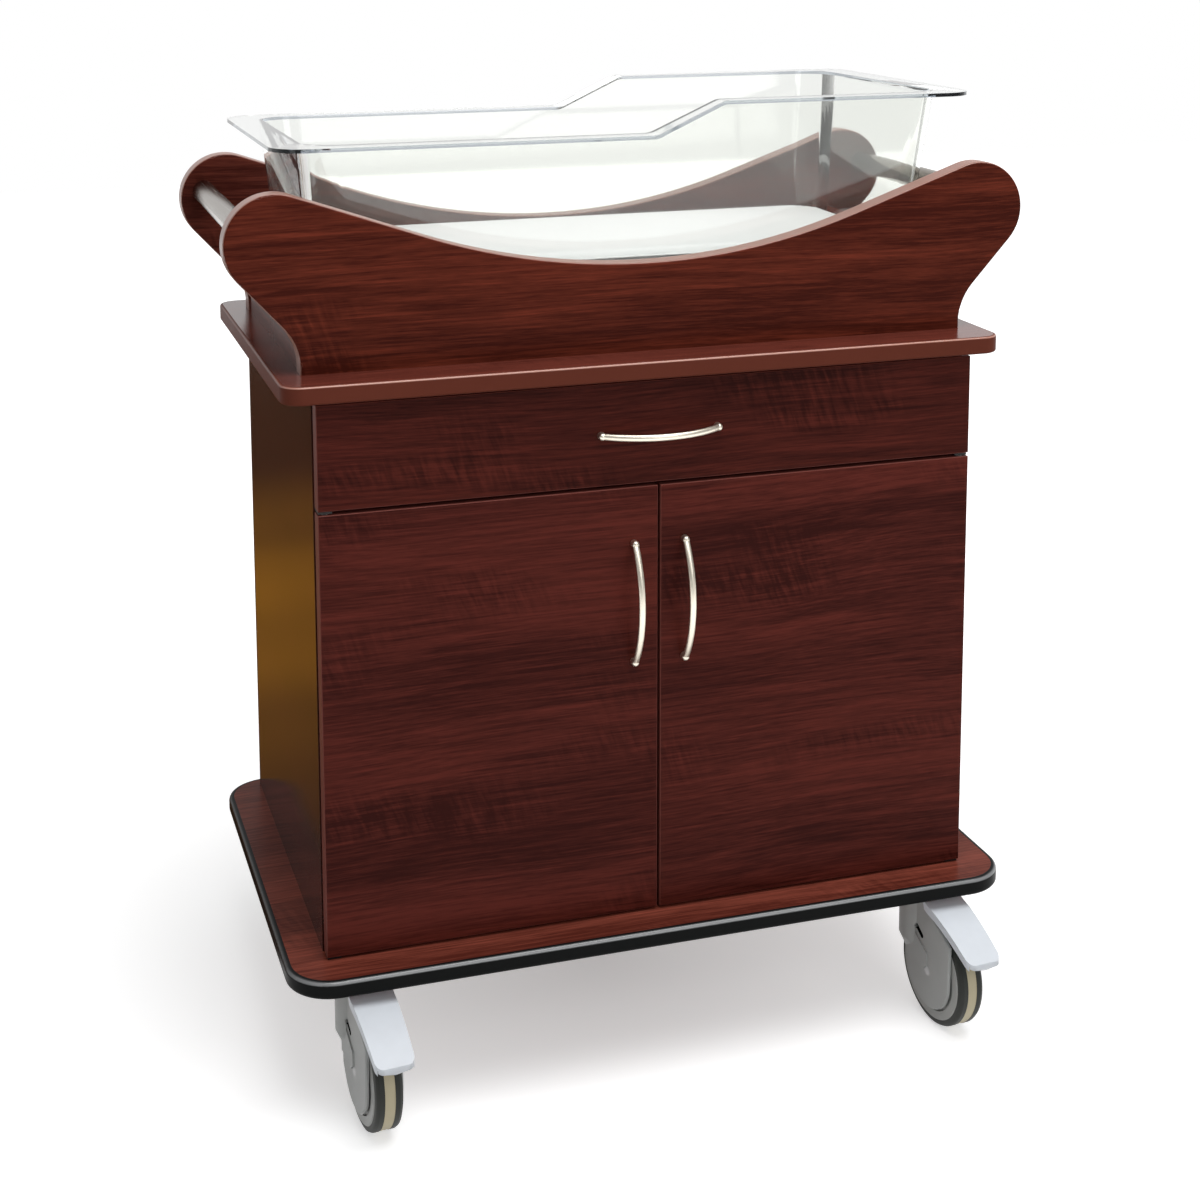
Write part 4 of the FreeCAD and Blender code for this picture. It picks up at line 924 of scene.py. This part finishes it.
def seam(name, z):
    """A thin welded cord round the mattress at one height."""
    inset = Vector((SEAM_INSET, SEAM_INSET, 0))
    points = rounded_loop(MATTRESS_LOW + inset, MATTRESS_HIGH - inset, MATTRESS_CORNER - SEAM_INSET, z)
    curve = bpy.data.curves.new(name, "CURVE")
    curve.dimensions = "3D"
    curve.bevel_depth = SEAM_RADIUS
    curve.bevel_resolution = 3
    spline = curve.splines.new("POLY")
    spline.points.add(len(points) - 1)
    for point, place in zip(spline.points, points):
        point.co = (*place, 1.0)
    spline.use_cyclic_u = True
    drawn = placed_object(name + "_line", curve)
    mesh = evaluated_mesh(drawn)
    bpy.data.objects.remove(drawn)
    mesh.shade_smooth()
    mesh.materials.clear()
    mesh.materials.append(finishes["cover"])
    return placed_object(name, mesh)


seams = [seam("mattress_seam_top", MATTRESS_HIGH.z - SEAM_FROM_EDGE),
         seam("mattress_seam_bottom", MATTRESS_LOW.z + SEAM_FROM_EDGE)]
for piece in [pad] + seams:
    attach(piece, "mattress")
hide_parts("mattress")
print("seams:", len(seams))

# %% [markdown]
# ## Screws
# The pan-head screws that hold each caster's plate under the base board are added here. A screw is modelled once,
# and a Geometry Nodes tree puts one on every point of a small mesh and turns each by a random angle, as a fitter
# leaves them.

# %% Screw tree
SCREW_RADIUS = 4.2 * MM
SCREW_HEIGHT = 1.2 * MM
SCREW_SIDES = 16
HEAD_PROFILE = ((1.0, 0.0), (1.0, 0.35), (0.86, 0.75), (0.55, 1.0))
CROSS_ARM, CROSS_WAIST, CROSS_TAPER, CROSS_FLOOR = 0.42, 0.16, 0.6, 0.45


def ring(work, shares, rise):
    """Points round the screw's axis at one height, each at its share of the head's radius."""
    turns = [2 * math.pi * step / len(shares) for step in range(len(shares))]
    return [work.verts.new((SCREW_RADIUS * share * math.cos(turn), SCREW_RADIUS * share * math.sin(turn),
                            SCREW_HEIGHT * rise)) for share, turn in zip(shares, turns)]


def bridge(work, lower, upper):
    """Faces between two rings."""
    for step in range(len(lower)):
        following = (step + 1) % len(lower)
        work.faces.new((lower[step], lower[following], upper[following], upper[step]))


def screw_head():
    """A pan head with a cross recess, standing on Z = 0 and pointing up."""
    work = bmesh.new()
    cross = [CROSS_ARM if step % 4 == 0 else CROSS_WAIST for step in range(SCREW_SIDES)]
    rings = [ring(work, [share] * SCREW_SIDES, rise) for share, rise in HEAD_PROFILE]
    rings.append(ring(work, cross, 1.0))
    rings.append(ring(work, [share * CROSS_TAPER for share in cross], CROSS_FLOOR))
    for lower, upper in zip(rings, rings[1:]):
        bridge(work, lower, upper)
    work.faces.new(rings[-1])
    work.faces.new(rings[0][::-1])
    mesh = bpy.data.meshes.new("screw_head")
    work.to_mesh(mesh)
    work.free()
    return mesh


def build_screw_tree(head):
    """A tree that puts a screw on every point of its input, with a fixed seed for the turns."""
    tree = bpy.data.node_groups.new("screws_on_points", "GeometryNodeTree")
    for label, kind in (("Geometry", "Geometry"), ("Size", "Float"), ("Tilt", "Vector"), ("Finish", "Material")):
        tree.interface.new_socket(label, in_out="INPUT", socket_type="NodeSocket" + kind)
    tree.interface.new_socket("Geometry", in_out="OUTPUT", socket_type="NodeSocketGeometry")
    given = tree.nodes.new("NodeGroupInput").outputs
    source = add(tree, "GeometryNodeObjectInfo", {"Object": head})
    chance = add(tree, "FunctionNodeRandomValue", {2: 0.0, 3: math.pi, "Seed": 7}, data_type="FLOAT")
    spin = add(tree, "ShaderNodeCombineXYZ", {"Z": chance.outputs[1]})
    standing = add(tree, "GeometryNodeInstanceOnPoints", {
        "Points": given["Geometry"], "Instance": source.outputs["Geometry"],
        "Rotation": given["Tilt"], "Scale": given["Size"]})
    turned = add(tree, "GeometryNodeRotateInstances", {
        "Instances": standing.outputs[0], "Rotation": spin.outputs[0]})
    real = add(tree, "GeometryNodeRealizeInstances", {0: turned.outputs[0]})
    coloured = add(tree, "GeometryNodeSetMaterial", {
        "Geometry": real.outputs[0], "Material": given["Finish"]})
    fill(tree, tree.nodes.new("NodeGroupOutput").inputs, {0: coloured.outputs[0]})
    return tree


def place_screws(name, points, body, tilt, size):
    """Screws on a list of points, as one plain mesh that rides on a body."""
    mesh = bpy.data.meshes.new(name)
    mesh.from_pydata([tuple(point) for point in points], [], [])
    piece = placed_object(name, mesh)
    modifier = piece.modifiers.new("screws", "NODES")
    modifier.node_group = screw_tree
    values = {"Size": size, "Tilt": tilt, "Finish": finishes["zinc"]}
    for socket in screw_tree.interface.items_tree:
        if socket.in_out == "INPUT" and socket.name in values:
            modifier[socket.identifier] = values[socket.name]
    applied(piece)
    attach(piece, body)


head_object = placed_object("screw_pattern", screw_head())
screw_tree = build_screw_tree(head_object)
print("screw tools ready")

# %% Caster plate screws
HOLE_X, HOLE_Y = 23 * MM, 28 * MM
PLATE_THICKNESS = 3 * MM
PLATE_SCREW_SIZE = 0.8
POINTING_DOWN = (math.pi, 0, 0)
plate_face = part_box("base_board")[0].z - PLATE_THICKNESS
plate_points = []
for caster in CASTERS:
    swivel = joint_named("swivel_" + caster)[0]
    for side_x in (-1, 1):
        for side_y in (-1, 1):
            plate_points.append(Vector((swivel.x + side_x * HOLE_X, swivel.y + side_y * HOLE_Y, plate_face)))
place_screws("caster_plate_screws", plate_points, "cabinet", POINTING_DOWN, PLATE_SCREW_SIZE)
bpy.data.objects.remove(head_object)
print("screws:", len(plate_points))

# %% [markdown]
# ## Studio
# A pale floor and a wide overhead soft light, with a weaker one from the front: level boards catch most of the
# light and the fronts stay dark, as a laminate looks under ceiling panels. The white background comes from the
# floor's and the world's own colour for the rays that need it, so it adds no light to the object. The cabinet's
# glossy side mirrors the ground behind it, so a brown card lies there that only reflections can see.

# %% Floor and background
FLOOR_SIZE = (14, 14)
FLOOR_GLOW, FLOOR_GLOW_GAIN = 0.36, 0.42
CARD_PLACE, CARD_SIZE = (-0.79, 1.85, 0.004), (1.78, 3.5)
CARD_MIDDLE, CARD_FADE = 1.3, -1.1
CARD_DARK, CARD_OCHRE = (0.075, 0.034, 0.018, 1), (0.42, 0.18, 0.022, 1)


def add_stage_plane(name, centre, size, material):
    """A level rectangle for the stage, with one material and on no body."""
    mesh = bpy.data.meshes.new(name)
    x, y, z = centre
    half_x, half_y = size[0] / 2, size[1] / 2
    mesh.from_pydata([(x - half_x, y - half_y, z), (x + half_x, y - half_y, z),
                      (x + half_x, y + half_y, z), (x - half_x, y + half_y, z)], [], [(0, 1, 2, 3)])
    mesh.materials.append(material)
    plane = placed_object(name, mesh)
    return plane


def floor_finish():
    """A matt pale floor that also glows white, further out more, for rays that don't light anything."""
    material, tree, shader, place = start_material("studio_floor")
    fill(tree, shader, {"Base Color": (0.8, 0.8, 0.8, 1), "Roughness": 0.9, "Specular IOR Level": 0.0})
    away = add(tree, "ShaderNodeVectorMath", {0: place}, operation="LENGTH").outputs["Value"]
    rays = tree.nodes.new("ShaderNodeLightPath").outputs
    seen = maths(tree, "MAXIMUM", rays["Is Camera Ray"], rays["Is Transmission Ray"])
    seen = maths(tree, "MAXIMUM", seen, rays["Is Glossy Ray"])
    strength = maths(tree, "MULTIPLY", seen, sloped(tree, away, FLOOR_GLOW_GAIN, FLOOR_GLOW))
    glow = add(tree, "ShaderNodeEmission", {"Color": (1, 1, 1, 1), "Strength": strength})
    show(tree, add(tree, "ShaderNodeAddShader", {0: principled(tree), 1: glow.outputs[0]}))
    return material


def card_finish():
    """Dark brown with a patchy band of ochre across it."""
    material, tree, _, place = start_material("brown_card")
    along = add(tree, "ShaderNodeSeparateXYZ", {0: place}).outputs["Y"]
    band = sloped(tree, maths(tree, "ABSOLUTE", swing(tree, along, CARD_MIDDLE)), CARD_FADE, 1.0)
    patchy = sloped(tree, stretched_noise(tree, place, 1.0, 2.6, 1.0), 1.6, 0.1)
    colour = blend_colours(tree, maths(tree, "MULTIPLY", band, patchy), CARD_DARK, CARD_OCHRE)
    show(tree, add(tree, "ShaderNodeEmission", {"Color": colour, "Strength": 1.0}))
    return material


add_stage_plane("studio_floor", (0, 0, 0), FLOOR_SIZE, floor_finish())
card = add_stage_plane("brown_card", CARD_PLACE, CARD_SIZE, card_finish())
card.visible_camera = False
card.visible_diffuse = False
card.visible_transmission = False
card.visible_shadow = False
print("stage ready")

# %% World and lamps
LAMP_AIM = Vector((0, 0, 0.6))
LAMPS = {
    "overhead_panel": (Vector((0.35, -0.8, 2.9)), (2.4, 1.6), 54),
    "front_panel": (Vector((0.9, -2.9, 1.9)), (1.4, 1.4), 14),
}
world = bpy.data.worlds.new("studio")
world.use_nodes = True
bpy.context.scene.world = world
sky = world.node_tree
rays = sky.nodes.new("ShaderNodeLightPath").outputs
seen_way = sky.nodes.new("ShaderNodeTexCoord").outputs["Generated"]
way = add(sky, "ShaderNodeSeparateXYZ", {0: seen_way}).outputs
# soft light is a little brighter from the right, reflections are brighter from behind and above, what shows
# through the tub darkens upwards, and the camera sees plain white
soft_level = sloped(sky, way["X"], 0.12, 0.40, clamp=False)
brighter_way = maths(sky, "MAXIMUM", sloped(sky, way["Y"], 1.6, 0.55), sloped(sky, way["Z"], 1.4, -0.35))
mirrored_level = sloped(sky, brighter_way, 0.86, 0.14, clamp=False)
through_level = sloped(sky, sloped(sky, way["Z"], -2.2, 1.75), 0.75, 0.25, clamp=False)
level = blend_colours(sky, rays["Is Glossy Ray"], soft_level, mirrored_level)
level = blend_colours(sky, rays["Is Transmission Ray"], level, through_level)
level = blend_colours(sky, rays["Is Camera Ray"], level, (1, 1, 1, 1))
fill(sky, sky.nodes["Background"].inputs, {"Color": level})
for name, (place, size, power) in LAMPS.items():
    data = bpy.data.lights.new(name, "AREA")
    data.shape = "RECTANGLE"
    data.size, data.size_y = size
    data.energy = power
    lamp = placed_object(name, data)
    lamp.location = place
    lamp.rotation_euler = (LAMP_AIM - place).to_track_quat("-Z", "Y").to_euler()
print("lamps ready")
